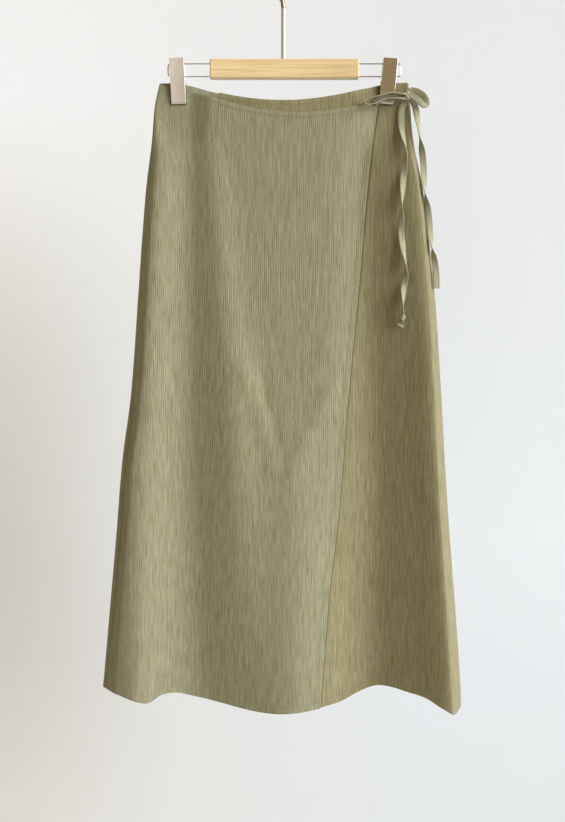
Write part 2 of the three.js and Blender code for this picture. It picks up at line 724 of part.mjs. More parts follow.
// The hook leaves the stem, bends to the left and goes over the rail to its tip on the right.
const hookRadius = HOOK.innerRadius + HOOK.wireRadius;
const hookPoints = HOOK_FOOT.map(({ x, drop }) => place(x, drop));
for (let angle = HOOK.leaveAngle; angle >= HOOK.tipAngle; angle -= HOOK.stepAngle) {
  const turn = degToRad(angle);
  hookPoints.push(place(
    hookRadius * Math.cos(turn),
    HOOK.innerRadius - hookRadius * Math.sin(turn),
  ));
}
addPiece("hanger_hook", "hook", wire(new THREE.CatmullRomCurve3(hookPoints), HOOK.wireRadius, 40, 10));

// Each rail is one wire: out of the bar, round its end and back into the bar.
for (const rail of RAILS) {
  const outwards = Math.sign(rail.end);
  const inBar = (outwards < 0 ? BAR.left : BAR.right) - outwards * RAIL.inBar;
  const corner = rail.end - outwards * RAIL.bend;
  const route = new THREE.CurvePath();
  const add = (curve) => route.add(curve);
  add(new THREE.LineCurve3(place(inBar, RAIL.upperDrop), place(corner, RAIL.upperDrop)));
  add(new THREE.QuadraticBezierCurve3(
    place(corner, RAIL.upperDrop),
    place(rail.end, RAIL.upperDrop),
    place(rail.end, RAIL.upperDrop + RAIL.bend),
  ));
  add(new THREE.LineCurve3(
    place(rail.end, RAIL.upperDrop + RAIL.bend),
    place(rail.end, RAIL.lowerDrop - RAIL.bend),
  ));
  add(new THREE.QuadraticBezierCurve3(
    place(rail.end, RAIL.lowerDrop - RAIL.bend),
    place(rail.end, RAIL.lowerDrop),
    place(corner, RAIL.lowerDrop),
  ));
  add(new THREE.LineCurve3(place(corner, RAIL.lowerDrop), place(inBar, RAIL.lowerDrop)));
  addPiece(rail.name, "rail", wire(route, RAIL.radius, 36, 8));
}

// One jaw of a clip: its plate, and two ears that the rails pass through.
function jawGeometry(side, earInset) {
  const plate = new THREE.Shape(JAW.map(({ away, drop }) => new THREE.Vector2(away, -drop)));
  const ear = new THREE.Shape([
    new THREE.Vector2(EAR.topAway, -EAR.top),
    new THREE.Vector2(-EAR.past, -EAR.top),
    new THREE.Vector2(-EAR.past, -EAR.bottom),
    new THREE.Vector2(EAR.bottomAway, -EAR.bottom),
  ]);
  for (const drop of [RAIL.upperDrop, RAIL.lowerDrop]) {
    ear.holes.push(new THREE.Path().absarc(0, CLIP.topDrop - drop, EAR_HOLE, 0, 2 * Math.PI, true));
  }
  const extrude = (shape, width) =>
    new THREE.ExtrudeGeometry(shape, { depth: width, bevelEnabled: false, curveSegments: 6 });
  let jaw = solidOf(extrude(plate, CLIP.width).translate(0, 0, -CLIP.width / 2));
  for (const end of [-1, 1]) {
    const middle = end * (CLIP.width / 2 - earInset - EAR.thickness / 2);
    const flange = extrude(ear, EAR.thickness).translate(0, 0, middle - EAR.thickness / 2);
    jaw = jaw.add(solidOf(flange));
  }
  const geometry = geometryOf(jaw);
  // away lies along local x and the width along local z, so turn them to -Y and X
  const turned = new THREE.Matrix4().makeBasis(
    new THREE.Vector3(0, side, 0),
    new THREE.Vector3(0, 0, 1),
    new THREE.Vector3(side, 0, 0),
  );
  return geometry.applyMatrix4(turned);
}

// The coil spring round the lower rail, between the jaws.
function springGeometry() {
  const half = (SPRING.turns * SPRING.pitch) / 2;
  const profile = [new THREE.Vector2(SPRING.inner, -half)];
  for (let turn = 0; turn < SPRING.turns; turn++) {
    const from = turn * SPRING.pitch - half;
    profile.push(new THREE.Vector2(SPRING.outer - SPRING.groove, from));
    profile.push(new THREE.Vector2(SPRING.outer, from + SPRING.pitch * 0.3));
    profile.push(new THREE.Vector2(SPRING.outer, from + SPRING.pitch * 0.7));
  }
  profile.push(new THREE.Vector2(SPRING.outer - SPRING.groove, half));
  profile.push(new THREE.Vector2(SPRING.inner, half));
  profile.push(new THREE.Vector2(SPRING.inner, -half));
  return new THREE.LatheGeometry(profile, 12).rotateZ(Math.PI / 2);
}

for (const clip of CLIPS) {
  const group = new THREE.Group();
  group.position.set(clip.x, 0, -CLIP.topDrop);
  group.rotation.y = degToRad(clip.lean);
  addPiece(`${clip.name}_front_jaw`, "clip", jawGeometry(-1, 0), group);
  addPiece(`${clip.name}_back_jaw`, "clip", jawGeometry(1, EAR.thickness + EAR.gap), group);
  const spring = addPiece(`${clip.name}_spring`, "hook", springGeometry(), group);
  spring.position.z = CLIP.topDrop - RAIL.lowerDrop;
  skirt.add(group);
}

export default skirt;
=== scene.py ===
"""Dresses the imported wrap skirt, its ties and its clip hanger, and sets up the photo studio.

Tables are in millimetres, with drop measured down from the inner top of the hook. Meshes and
settings are in metres.
"""
import math

import bpy
import numpy as np
from mathutils import Matrix, Vector


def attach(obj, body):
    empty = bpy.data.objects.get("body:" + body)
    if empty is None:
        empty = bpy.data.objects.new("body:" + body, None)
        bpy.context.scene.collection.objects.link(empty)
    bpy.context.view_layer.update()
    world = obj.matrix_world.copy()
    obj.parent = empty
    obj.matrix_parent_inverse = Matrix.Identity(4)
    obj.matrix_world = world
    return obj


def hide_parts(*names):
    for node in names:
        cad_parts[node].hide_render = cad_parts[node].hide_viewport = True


bl_info = {
    "name": "Wrap Skirt on a Clip Hanger",
    "version": (1, 0, 0),
    "blender": (4, 5, 0),
    "location": "3D View > Sidebar > Skirt",
    "description": "Makes a crinkle crepe wrap skirt hung from a wooden hanger with two clips",
    "category": "Object",
}

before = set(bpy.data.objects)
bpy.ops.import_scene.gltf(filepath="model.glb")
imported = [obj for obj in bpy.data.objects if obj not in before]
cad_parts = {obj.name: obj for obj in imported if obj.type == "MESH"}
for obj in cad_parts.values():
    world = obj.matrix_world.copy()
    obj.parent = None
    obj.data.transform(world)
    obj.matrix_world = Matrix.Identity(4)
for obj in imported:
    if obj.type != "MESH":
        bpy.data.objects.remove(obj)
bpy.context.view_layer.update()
MM = 0.001

# Cloth of the model: a wall and the gaps round it
WALL = 1.2
SEAM_GAP = 0.3
LAYER_STEP = 1.8

# Outline by drop: left, right, radius of the left turn, of the right turn, how far the left
# seam lies in from the outline, and the broad bulge of the front and of the back
SECTIONS = (
    (150, -169.5, 171.5, 4, 4, 0, 6, 5),
    (180, -177, 174.7, 5, 5, 0, 7, 6),
    (230, -181.3, 178.6, 8, 8, 0, 6, 8),
    (300, -189.6, 192.4, 10, 10, 0, 5, 9),
    (380, -196, 202, 12, 12, 0, 5, 10),
    (460, -201.5, 209.8, 14, 15, 2, 5, 11),
    (590, -211.3, 218, 17, 18, 7, 6, 12),
    (670, -222, 222.2, 19, 20, 13, 8, 13),
    (780, -231, 229.3, 21, 22, 15, 9, 14),
    (890, -240.6, 237.8, 22, 25, 14, 10, 14),
    (990, -249.2, 244.3, 22, 27, 10, 10, 14),
)

# Free edge of the overlap: drop and x
OVERLAP_EDGE = (
    (180, 131), (240, 121.5), (330, 112), (425, 104), (535, 93), (600, 86.5),
    (692, 79), (783, 70), (826, 64), (900, 57), (1000, 49),
)
# Hidden free edge of the under panel: drop and x, at the top and at the hem
HIDDEN_EDGE = ((175, -88), (1000, -49))

# Top edges: the waist sags between the clips, and the overlap hangs lower (x and drop)
WAIST_SIDE_DROP = 154
WAIST_HALF_SPAN = 150
WAIST_POWER = 1.3
FRONT_SAG = 26
BACK_SAG = 21.5
OVERLAP_TOP = (
    (-172, 155.5), (-150, 160.5), (-133, 165.7), (-105, 173), (-71, 184.5), (-28, 193.5),
    (16, 197.5), (62, 194), (92, 189), (115, 185.5), (131.5, 185.5),
)
# Hems: x and drop
FRONT_HEM = (
    (-240, 983.5), (-222, 988), (-196, 996), (-182, 998.5), (-165, 989.5), (-148, 987.5),
    (-120, 993.5), (-80, 1001), (-40, 1008), (-8, 1010), (30, 1007), (58, 1003),
    (80, 999.5), (104, 989.5), (127, 981.5), (145, 982), (166, 986.5), (190, 992),
    (212, 1004), (232, 1012.5), (245, 1012),
)
BACK_HEM = (
    (-250, 984.5), (-190, 985), (-110, 978), (-20, 992), (70, 980), (160, 984), (215, 1000),
    (246, 1011),
)

# Folds: drop at which each starts, then its x, width and depth at its start, at mid length and
# at the hem. A valley's depth is negative.
FOLD_MID_DROP = 672
FOLD_HEM_DROP = 1000
FOLD_RISE = (40, 60)
LEFT_FADE = (6, 0.8)
RIGHT_FADE = (4, 0.6)
FRONT_FOLDS = (
    (205, (-168, -190, -202), (16, 29, 34), (3, 13, 20)),  # left ridge
    (215, (-130, -131, -118), (16, 26, 36), (-3, -6, -9)),  # left valley
    (235, (-98, -62, -42), (16, 32, 36), (2, 9, 3)),  # upper centre ridge
    (560, (8, 10, 12), (46, 46, 52), (0, 7, 18)),  # lower centre ridge
    (215, (112, 120, 116), (24, 38, 46), (-5, -17, -24)),  # right valley
    (225, (176, 210, 232), (17, 33, 44), (5, 17, 25)),  # right ridge
)
BACK_FOLDS = (
    (220, (-120, -150, -178), (24, 38, 44), (4, 15, 30)),
    (215, (20, -8, -30), (26, 44, 56), (4, 14, 33)),
    (220, (110, 128, 150), (22, 34, 46), (4, 16, 34)),
)

# Slit at the left seam: the front lifts off the back and laps over it
SLIT_LIFT = (605, 660)  # drops
SLIT_RISE = 2.8
SLIT_SIDEWAYS = 1.1
SLIT_REACH = 32
SLIT_LAP_DROP = (645, 690)
SLIT_LAP = 3

# Where a clip presses the cloth flat: its middle, and how the pressing fades
GRIP_X = (-144.8, 142.5)
GRIP_ACROSS = (13, 46)
GRIP_DOWN = (200, 270)

# A panel's own columns: round the left side, to the hidden edge, to the overlap's edge, to the
# right side and round it. The back has other ones.
FIRST, HIDDEN, EDGE, LAST, FRONT_END = 4, 16, 28, 38, 42
BACK_FIRST, BACK_LAST, BACK_END = 7, 33, 37
BACK_CROWDING = 0.075
TOP_SHARE = 0.045  # share of the way down at which a panel's own top edge has no more effect
PASSES = 5
PANEL_ROWS = (22, 114, 14)  # rows of points at the top edge, between, and at the hem
PANEL_COLUMNS = 520
MEASURED_COLUMNS = 900  # for measuring along a row before its points are spaced evenly
HEM_SHARE = 0.983  # share of the way down at which the closer rows of the hem start
INNER_STEP = 5  # the inner face of a panel has one point for this many
FACE_IN = 0.2  # the outer face lies this far behind the model's, to leave room for the ribs
SEWN_IN = 0.9  # stitches run this far from the turned edge
NOISE_COLUMNS, NOISE_ROWS = 257, 131

# Soft creases pressed into the overlap: start and end as x and drop, half width, height.
# A negative height is a furrow.
CREASES = (
    ((-134, 170), (-128, 182), 2.6, 1.1),
    ((-131, 181), (-126, 190), 2.4, 1.0),
    ((-133.5, 176), (-129, 186), 2.2, -1.0),
    ((-174, 172), (-163, 222), 7, -2.2),
    ((-66, 520), (2, 702), 15, 2.2),
    ((70, 560), (8, 705), 13, 2.0),
    ((-30, 560), (2, 690), 10, -1.6),
)

# Ties: x, drop, y and twist in degrees of a folded strip's middle line. Where y is None the
# strip lies just in front of the panel.
BAND_WIDTH = 9
BAND_CLEAR = 3.1
BAND_THICKNESS = 1.5
FRONT_TAIL = (
    (166.4, 181, None, 4), (163.9, 186.4, None, 0), (162, 194.6, None, 0),
    (161.8, 213, None, -6), (163.8, 232, None, -44), (166.6, 250, None, -90),
    (165.6, 268, None, -138), (163.4, 287, None, -180), (162, 308, None, -222),
    (160.7, 328, None, -270), (160.2, 345, None, -322), (160.5, 363, None, -360),
    (163, 388, None, -402), (166.4, 411, None, -450), (165.4, 424, None, -502),
    (163.8, 436, None, -540), (162.6, 451, None, -590), (161.8, 465, None, -628),
    (161.7, 475.6, None, -640),
)
TAIL_END = (
    (161.5, 481.6, None, -655), (159.9, 487.5, None, -712), (158.4, 490.8, None, -745),
)
BACK_TAIL = (
    (172.4, 176.8, -12, 14), (177.8, 183, -10.8, 12), (181.4, 193, -10, 0),
    (184.4, 211, -9.8, -40), (187, 233, -9.8, -90), (189.8, 249, -9.8, -148),
    (191.7, 268, -10, -180), (192.6, 290, -10.4, -214), (194.2, 310, -10.8, -270),
    (196.8, 325, -11.2, -326), (199.4, 346, -11.6, -360), (201.4, 367, -12.2, -392),
    (203.5, 385, -12.8, -450), (206.2, 398, -13.2, -508), (208.4, 415, -13.6, -540),
    (209.2, 438.5, -14, -546),
)
LEFT_LOOP = (
    (167.2, 172.6, -16.8, 46), (160, 173.8, -18, 84), (148, 172.8, -18.4, 92),
    (138.6, 173.8, -18.2, 80), (128, 176.4, -17.8, 74), (116.4, 179.4, -17, 78),
    (110.4, 183, -16.4, 90), (113, 187.4, -16, 98), (124, 186, -15.8, 102),
    (138, 180.4, -15.8, 102), (151, 178.6, -15.8, 104), (166.4, 178.4, -16, 132),
)
RIGHT_LOOP = (
    (171.4, 168.6, -12, 40), (177, 167.6, -12, 34), (184, 169.6, -12, 28),
    (190.4, 173.4, -12, 24), (194.6, 179.6, -12.6, 20), (195, 186.4, -14.4, 10),
    (191.4, 188.2, -16.6, 4), (184.6, 182.2, -17.6, 0), (173, 173, -16, 8),
)
STRAP = (
    (126, 183, -6, 0), (132, 178.6, -7.8, 14), (141, 174.6, -9.5, 30),
    (153, 173.4, -9.8, 28), (165.6, 174.2, -10.6, 14),
)
KNOT = ((169, 175, -13.4), (4.8, 4.8, 7.6))  # middle as x, drop, y, and half sizes
TAIL_KNOT_DROP = 478.5
TAIL_KNOT_HALF = (4, 3.6, 5.4)

# Hanger
BAR_ENDS = (-101.6, 104.1)
BAR_DROP = 121.8
BAR_HEIGHT = 26.2
BAR_DEPTH = 14
STEM_X = -0.2
STEM_RADIUS = 3.25
STEM_DROP = 50.6
HOOK_WIRE = 2.95
HOOK_INNER = 19
HOOK_FOOT = (
    (-0.4, 50.3), (-0.8, 45.5), (-2.2, 39.5), (-6.6, 34.4), (-13, 30.4), (-18.6, 26.4),
)
HOOK_ANGLES = (188, -38, 12)  # first, last and step, in degrees
RAIL_RADIUS = 0.95
RAIL_BEND = 4
RAIL_IN_BAR = 16
RAIL_BORE = 1.3
RAIL_DROPS = (127.2, 144.8)
RAIL_ENDS = {"left_rail": -159.1, "right_rail": 162.1}
STEM_IN_BAR = 14
CLIP_WIDTH = 20
CLIP_DROP = 122.7
CLIPS = {"left_clip": (-146.5, -2.1), "right_clip": (147, 5.3)}  # x and lean in degrees
# Side view of a jaw's plate, outer face: distance from the middle and drop below its top
JAW_OUTER = ((12.6, 0), (10.8, 24), (5, 55.5), (4.3, 59.4), (3.2, 60.7))
JAW_INNER = ((11.1, 0), (9.3, 24), (3.4, 46), (1.65, 52), (1.65, 60.7))
JAW_ROWS = (0, 6, 12, 18, 24, 34, 44, 50, 55.5, 58, 59.4, 60.2, 60.7)
JAW_FOOT = 60.7
EAR_THICKNESS = 1
EAR_DROPS = (1, 29)
EAR_AWAY = (11.4, 8.2)  # how far an ear reaches from the middle, at its top and at its foot
EAR_PAST = 3.6
EAR_HOLE = 2.2
COIL_WIRE = 0.62
COIL_RADIUS = 3.4
COIL_TURNS = 6
COIL_LENGTH = 8.4

# Studio, in metres: what the camera aims at, the height that it sees, and the backdrop's
# floor, wall, sweep between them, front edge, top edge and half width
CENTRE = (-0.0014, 0, -0.606)
SEEN_HEIGHT = 1.134
SENSOR = 36
FLOOR_Z = -1.62
WALL_Y = 0.6
SWEEP = 0.5
FRONT_Y = -3.2
TOP_Z = 1.6
HALF_WIDTH = 3.2


def color_setting(name, description, default):
    return bpy.props.FloatVectorProperty(
        name=name, description=description, subtype="COLOR", size=3, min=0, max=1,
        default=default)


def length_setting(name, description, default, least):
    return bpy.props.FloatProperty(
        name=name, description=description, subtype="DISTANCE", min=least, default=default)


class ClothSettings(bpy.types.PropertyGroup):
    color: color_setting("Cloth", "Colour of the crepe", (0.3, 0.292, 0.208))
    # The furrow colour is painted shade, laid in the rib valleys and at the threads' low points
    shade: color_setting("Furrows", "Colour of the crepe between its ribs", (0.193, 0.178, 0.072))
    thread: color_setting("Thread", "Colour of the sewing thread", (0.36, 0.34, 0.22))
    wall: length_setting("Thickness", "Thickness of the crepe", 0.0008, 0.0003)
    rib_pitch: length_setting("Rib pitch", "Distance between two ribs", 0.0028, 0.001)
    rib_height: length_setting("Rib height", "How far a rib stands out", 0.00022, 0)
    waist_band: length_setting("Waist band", "Depth of the turned top edge", 0.0076, 0)
    hem: length_setting("Hem", "Depth of the turned hem", 0.010, 0)
    stitch: length_setting("Stitch", "Length of one stitch", 0.0031, 0.001)


class TieSettings(bpy.types.PropertyGroup):
    color: color_setting("Ties", "Colour of the ties", (0.36, 0.348, 0.242))
    width: length_setting("Width", "Width of a tie", BAND_WIDTH * MM, 0.004)
    thickness: length_setting("Thickness", "Thickness of a folded tie", BAND_THICKNESS * MM,
                              0.0005)


class HangerSettings(bpy.types.PropertyGroup):
    wood: color_setting("Wood", "Colour of the bar", (0.78, 0.6, 0.34))
    grain: color_setting("Grain", "Colour of the bar's darker grain", (0.66, 0.45, 0.22))
    clip: color_setting("Clips", "Colour of the clips' plating", (0.8, 0.75, 0.76))
    rail: color_setting("Rails", "Colour of the wire rails", (0.72, 0.69, 0.64))
    spring: color_setting("Springs", "Colour of the clips' springs", (0.2, 0.16, 0.13))
    stem: color_setting("Stem", "Colour of the stem's lacquer", (0.66, 0.62, 0.5))
    hook: color_setting("Hook", "Colour of the hook", (0.33, 0.25, 0.19))
    bevel: length_setting("Bar edge", "Rounding of the bar's edges", 0.002, 0.0002)


class StageSettings(bpy.types.PropertyGroup):
    backdrop: color_setting("Backdrop", "Colour of the backdrop", (0.775, 0.81, 0.88))
    distance: length_setting("Camera distance", "From the camera to the skirt", 1.55, 0.5)
    key: bpy.props.FloatProperty(
        name="Key light", description="Strength of the window light in watts a square metre",
        min=0, default=4.8)
    fill: bpy.props.FloatProperty(
        name="Fill light", description="Power of the light from the other side",
        subtype="POWER", min=0, default=5)


def lerp(a, b, share):
    return a + (b - a) * share


def eased(share):
    return share * share * (3 - 2 * share)


def smoothstep(value, low, high):
    return eased(np.clip((value - low) / (high - low), 0, 1))


def table_reader(rows):
    """Reads a short table smoothly between its rows. The first column is the key."""
    table = np.array(rows, float)
    keys, values = table[:, 0], table[:, 1:]
    last = len(keys) - 1

    def read(at):
        at = np.clip(np.asarray(at, float), keys[0], keys[-1])
        i1 = np.clip(np.searchsorted(keys, at, side="right"), 1, last)
        i0 = i1 - 1
        t0, t1 = keys[i0], keys[i1]
        before = np.where(i1 >= 2, i1 - 2, i1)
        after = np.where(i1 < last, np.minimum(i1 + 1, last), i0)
        half = (t1 - t0) / 2
        wp = half / (t0 - keys[before])
        wn = half / (keys[after] - t1)
        p = (at - t0) / (t1 - t0)
        p2, p3 = p * p, p * p * p
        weights = (
            -wp * p3 + 2 * wp * p2 - wp * p,
            (1 + wp) * p3 + (-1.5 - 2 * wp) * p2 + (-0.5 + wp) * p + 1,
            (-1 - wn) * p3 + (1.5 + wn) * p2 + 0.5 * p,
            wn * p3 - wn * p2,
        )
        total = sum(w[..., None] * values[i] for w, i in zip(weights, (before, i0, i1, after)))
        return np.moveaxis(total, -1, 0)

    return read


def line_reader(rows):
    """Reads a table of two columns as a line."""
    read = table_reader(rows)
    return lambda at: read(at)[0]


section_at = table_reader(SECTIONS)
overlap_edge_at = line_reader(OVERLAP_EDGE)
overlap_top_at = line_reader(OVERLAP_TOP)
front_hem_at = line_reader(FRONT_HEM)
back_hem_at = line_reader(BACK_HEM)


def hidden_edge_at(drop):
    (top, top_x), (hem, hem_x) = HIDDEN_EDGE
    return lerp(top_x, hem_x, (drop - top) / (hem - top))


def waist_at(x, sag):
    inside = np.maximum(0, 1 - (x / WAIST_HALF_SPAN) ** 2)
    return WAIST_SIDE_DROP + sag * inside ** WAIST_POWER


def front_waist_at(x):
    return waist_at(x, FRONT_SAG)


def back_waist_at(x):
    return waist_at(x, BACK_SAG)


def grip_at(x, drop):
    """How much a clip presses the cloth flat, from 0 to 1."""
    across = [1 - smoothstep(np.abs(x - middle), *GRIP_ACROSS) for middle in GRIP_X]
    return (1 - smoothstep(drop, *GRIP_DOWN)) * np.maximum(*across)


def fold_depth(folds, x, drop):
    total = np.zeros_like(x)
    for start, places, widths, depths in folds:
        begun = smoothstep(drop, start - FOLD_RISE[0], start + FOLD_RISE[1])
        at = np.maximum(drop, start)
        lower = at >= FOLD_MID_DROP
        upper_share = (at - start) / (FOLD_MID_DROP - start)
        lower_share = (at - FOLD_MID_DROP) / (FOLD_HEM_DROP - FOLD_MID_DROP)
        place, width, depth = (
            np.where(lower, lerp(v[1], v[2], lower_share), lerp(v[0], v[1], upper_share))
            for v in (places, widths, depths)
        )
        total += begun * depth * np.exp(-((x - place) / width) ** 2)
    return total


def stand_off(x, drop, turn, sides, folds, bulge, stack):
    """How far a panel's outer face stands from the plane between front and back."""
    left, right, left_turn, right_turn = sides
    near_left = smoothstep(x - left, 0, LEFT_FADE[0] + LEFT_FADE[1] * left_turn)
    near_right = smoothstep(right - x, 0, RIGHT_FADE[0] + RIGHT_FADE[1] * right_turn)
    broad = bulge * np.sin(np.pi * np.clip((x - left) / (right - left), 0, 1))
    free = turn + (broad + fold_depth(folds, x, drop)) * near_left * near_right
    return SEAM_GAP / 2 + lerp(free, stack, grip_at(x, drop))


def seam_angle(seam, left_turn):
    return np.arccos(1 - np.maximum(0, seam) / left_turn)


def rounded(x, turn, chosen, edge, radius, angle):
    """Lays the chosen points round a side. The radius is negative on the right."""
    x = np.where(chosen, edge + radius * (1 - np.cos(angle)), x)
    return x, np.where(chosen, abs(radius) * np.sin(angle), turn)


def front_point(column, drop):
    left, right, left_turn, right_turn, seam, front, _ = section_at(drop)
    right = right + LAYER_STEP
    right_turn = right_turn + LAYER_STEP
    edges = (left + left_turn, hidden_edge_at(drop), overlap_edge_at(drop), right - right_turn)
    x = edges[0]
    stops = (FIRST, HIDDEN, EDGE, LAST)
    for k in range(3):
        share = np.clip((column - stops[k]) / (stops[k + 1] - stops[k]), 0, 1)
        x = x + (edges[k + 1] - edges[k]) * share
    turn = lerp(left_turn, right_turn, (x - edges[0]) / (edges[3] - edges[0]))
    lap = SLIT_LAP * smoothstep(drop, *SLIT_LAP_DROP)
    start = seam_angle(seam, left_turn) + (SEAM_GAP - lap) / left_turn
    angle = lerp(start, np.pi / 2, np.clip(column / FIRST, 0, 1))
    x, turn = rounded(x, turn, column < FIRST, left, left_turn, angle)
    angle = lerp(np.pi / 2, 0, np.clip((column - LAST) / (FRONT_END - LAST), 0, 1))
    x, turn = rounded(x, turn, column > LAST, right, -right_turn, angle)
    lift = smoothstep(drop, *SLIT_LIFT) * (1 - smoothstep(x - left - seam, 0, SLIT_REACH))
    stack = np.where(x > 0, WALL + LAYER_STEP, WALL)
    sides = (left, right, left_turn, right_turn)
    y = -stand_off(x, drop, turn, sides, FRONT_FOLDS, front, stack)
    return np.stack((x - lift * SLIT_SIDEWAYS, y - lift * SLIT_RISE, -drop), -1)


def back_point(column, drop):
    left, right, left_turn, right_turn, seam, _, back = section_at(drop)
    even = np.clip((column - BACK_FIRST) / (BACK_LAST - BACK_FIRST), 0, 1)
    share = even - BACK_CROWDING * np.sin(2 * np.pi * even)
    x = lerp(left + left_turn, right - right_turn, share)
    turn = lerp(left_turn, right_turn, share)
    angle = lerp(-seam_angle(seam, left_turn), np.pi / 2, np.clip(column / BACK_FIRST, 0, 1))
    x, turn = rounded(x, turn, column < BACK_FIRST, left, left_turn, angle)
    closing = lerp(np.pi / 2, 0, np.clip((column - BACK_LAST) / (BACK_END - BACK_LAST), 0, 1))
    x, turn = rounded(x, turn, column > BACK_LAST, right, -right_turn, closing)
    sides = (left, right, left_turn, right_turn)
    y = stand_off(x, drop, turn, sides, BACK_FOLDS, back, WALL)
    wrapped = (column < BACK_FIRST) & (angle < 0)
    y = np.where(wrapped, turn + SEAM_GAP / 2, y)
    return np.stack((x, y, -drop), -1)


def on_panel(point_at, column, share, levels):
    """A panel's points by column and share of the way down, and their drops. levels are its own
    top edge, the top edge that its neighbours share, and its hem."""
    point = point_at(column, lerp(WAIST_SIDE_DROP, FOLD_HEM_DROP, share))
    for _ in range(PASSES):
        own, shared, hem = (level(point[..., 0]) for level in levels)
        joined = lerp(shared, hem, TOP_SHARE)
        drop = np.where(
            share < TOP_SHARE,
            lerp(own, joined, share / TOP_SHARE),
            lerp(shared, hem, share),
        )
        point = point_at(column, drop)
    return point, drop, drop - own, hem - drop


def dashes(u, v, wide, long, seed, least=-1, turns=False):
    """Uneven upright dashes from least to 1, about wide across and long down. Where it turns,
    every second one is a furrow."""
    random = np.random.RandomState(seed)
    heights = random.uniform(least, 1, (NOISE_COLUMNS, NOISE_ROWS))
    shifts = random.uniform(0, NOISE_ROWS, NOISE_COLUMNS)
    column = np.floor(u / wide).astype(int)

    def one(column):
        wrapped = column % NOISE_COLUMNS
        down = v / long + shifts[wrapped]
        row = np.floor(down).astype(int)
        above, below = (heights[wrapped, r % NOISE_ROWS] for r in (row, row + 1))
        height = lerp(above, below, eased(down - row))
        return height * (1 - 2 * (column % 2)) if turns else height

    return lerp(one(column), one(column + 1), eased(u / wide - column))


def crinkle(u, v, pitch, seed):
    """Height of the crepe's ribs from about -1 to 1. u runs across and v down, in metres."""
    wander = 0.28 * pitch * dashes(u, v, 0.008, 0.05, seed)
    even = dashes(u + wander, v, 0.5 * pitch, 0.03, seed + 1, 0.35, True)
    return 0.9 * even + 0.2 * dashes(u, v, 0.9 * pitch, 0.03, seed + 2)


def crease_height(x, drop):
    total = np.zeros_like(x)
    for (x0, d0), (x1, d1), half_width, height in CREASES:
        dx, dd = x1 - x0, d1 - d0
        length = math.hypot(dx, dd)
        along = ((x - x0) * dx + (drop - d0) * dd) / length
        across = ((x - x0) * dd - (drop - d0) * dx) / length
        ends = smoothstep(along, -half_width, 2 * half_width)
        ends = ends * (1 - smoothstep(along, length - 2 * half_width, length + half_width))
        total += height * ends * np.exp(-(across / half_width) ** 2)
    return total


def overlap_relief(x, drop, from_edge):
    """The overlap's creases and its raised free edge."""
    edge = 0.35 * (1 - smoothstep(from_edge, 7, 10)) + 0.9 * (1 - smoothstep(from_edge, 0, 9))
    return crease_height(x, drop) + edge * smoothstep(drop, 200, 260)


def signed_volume(points, faces):
    total = 0.0
    for face in faces:
        a, b, c = (points[face[:, i]] for i in (0, 1, 2))
        total += np.einsum("ij,ij->i", a, np.cross(b, c)).sum()
        if face.shape[1] == 4:
            d = points[face[:, 3]]
            total += np.einsum("ij,ij->i", a, np.cross(c, d)).sum()
    return total / 6


def mesh_piece(name, points, faces, material, uv=None, fields=None):
    """A smooth piece from points in metres and arrays of faces, with its faces outwards."""
    faces = [np.asarray(part) for part in faces]
    if signed_volume(points, faces) < 0:
        faces = [part[:, ::-1] for part in faces]
    mesh = bpy.data.meshes.new(name)
    mesh.from_pydata(points.tolist(), [], [f for part in faces for f in part.tolist()])
    if uv is not None:
        corners = np.empty(len(mesh.loops), int)
        mesh.loops.foreach_get("vertex_index", corners)
        mesh.uv_layers.new(name="cloth").data.foreach_set("uv", uv[corners].ravel())
    for key, values in (fields or {}).items():
        mesh.attributes.new(key, "FLOAT", "POINT").data.foreach_set("value", values)
    mesh.shade_smooth()
    mesh.materials.append(material)
    piece = bpy.data.objects.new(name, mesh)
    bpy.context.scene.collection.objects.link(piece)
    return piece


def finish_piece(piece, slot, *nodes):
    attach(piece, "root")
    if nodes:
        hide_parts(*nodes)
    return piece


def deselect():
    if bpy.context.mode != "OBJECT":
        bpy.ops.object.mode_set(mode="OBJECT")
    bpy.ops.object.select_all(action="DESELECT")


def select_only(piece):
    deselect()
    piece.select_set(True)
    bpy.context.view_layer.objects.active = piece


def node_material(name):
    material = bpy.data.materials.new(name)
    material.use_nodes = True
    tree = material.node_tree
    shader = tree.nodes["Principled BSDF"]
    return material, tree, shader


def add_node(tree, kind, **values):
    """A new node. Values with a leading in_ go to its sockets, and the rest to its settings."""
    node = tree.nodes.new(kind)
    for key, value in values.items():
        if key.startswith("in_"):
            node.inputs[key[3:].replace("_", " ")].default_value = value
        else:
            setattr(node, key, value)
    return node


def color_ramp(tree, source, *stops):
    ramp = add_node(tree, "ShaderNodeValToRGB")
    elements = ramp.color_ramp.elements
    while len(elements) < len(stops):
        elements.new(0.5)
    for element, (position, color) in zip(elements, stops):
        element.position = position
        element.color = (*color, 1)
    tree.links.new(source, ramp.inputs["Fac"])
    return ramp.outputs["Color"]


def mixed(tree, factor, first, second, blend="MIX"):
    """Colour output of a mix. first and second are sockets or colours, factor a socket or share."""
    mix = add_node(tree, "ShaderNodeMix", data_type="RGBA", blend_type=blend)
    for socket, value in ((mix.inputs[0], factor), (mix.inputs[6], first), (mix.inputs[7], second)):
        if isinstance(value, bpy.types.NodeSocket):
            tree.links.new(value, socket)
        elif isinstance(value, (int, float)):
            socket.default_value = value
        else:
            socket.default_value = (*value, 1)
    return mix.outputs[2]


def scaled(color, factors, rise=0):
    """A colour times one factor, or times one for each channel, and raised."""
    if isinstance(factors, (int, float)):
        factors = (factors,) * 3
    return tuple(min(1, c * f + rise) for c, f in zip(color, factors))


def tinted(tree, tone, factor, source, low, high):
    """A tone multiplied by a soft pattern. low and high are positions with colours."""
    return mixed(tree, factor, tone, color_ramp(tree, source, low, high), "MULTIPLY")


def read_attribute(tree, name):
    return add_node(tree, "ShaderNodeAttribute", attribute_name=name).outputs["Fac"]


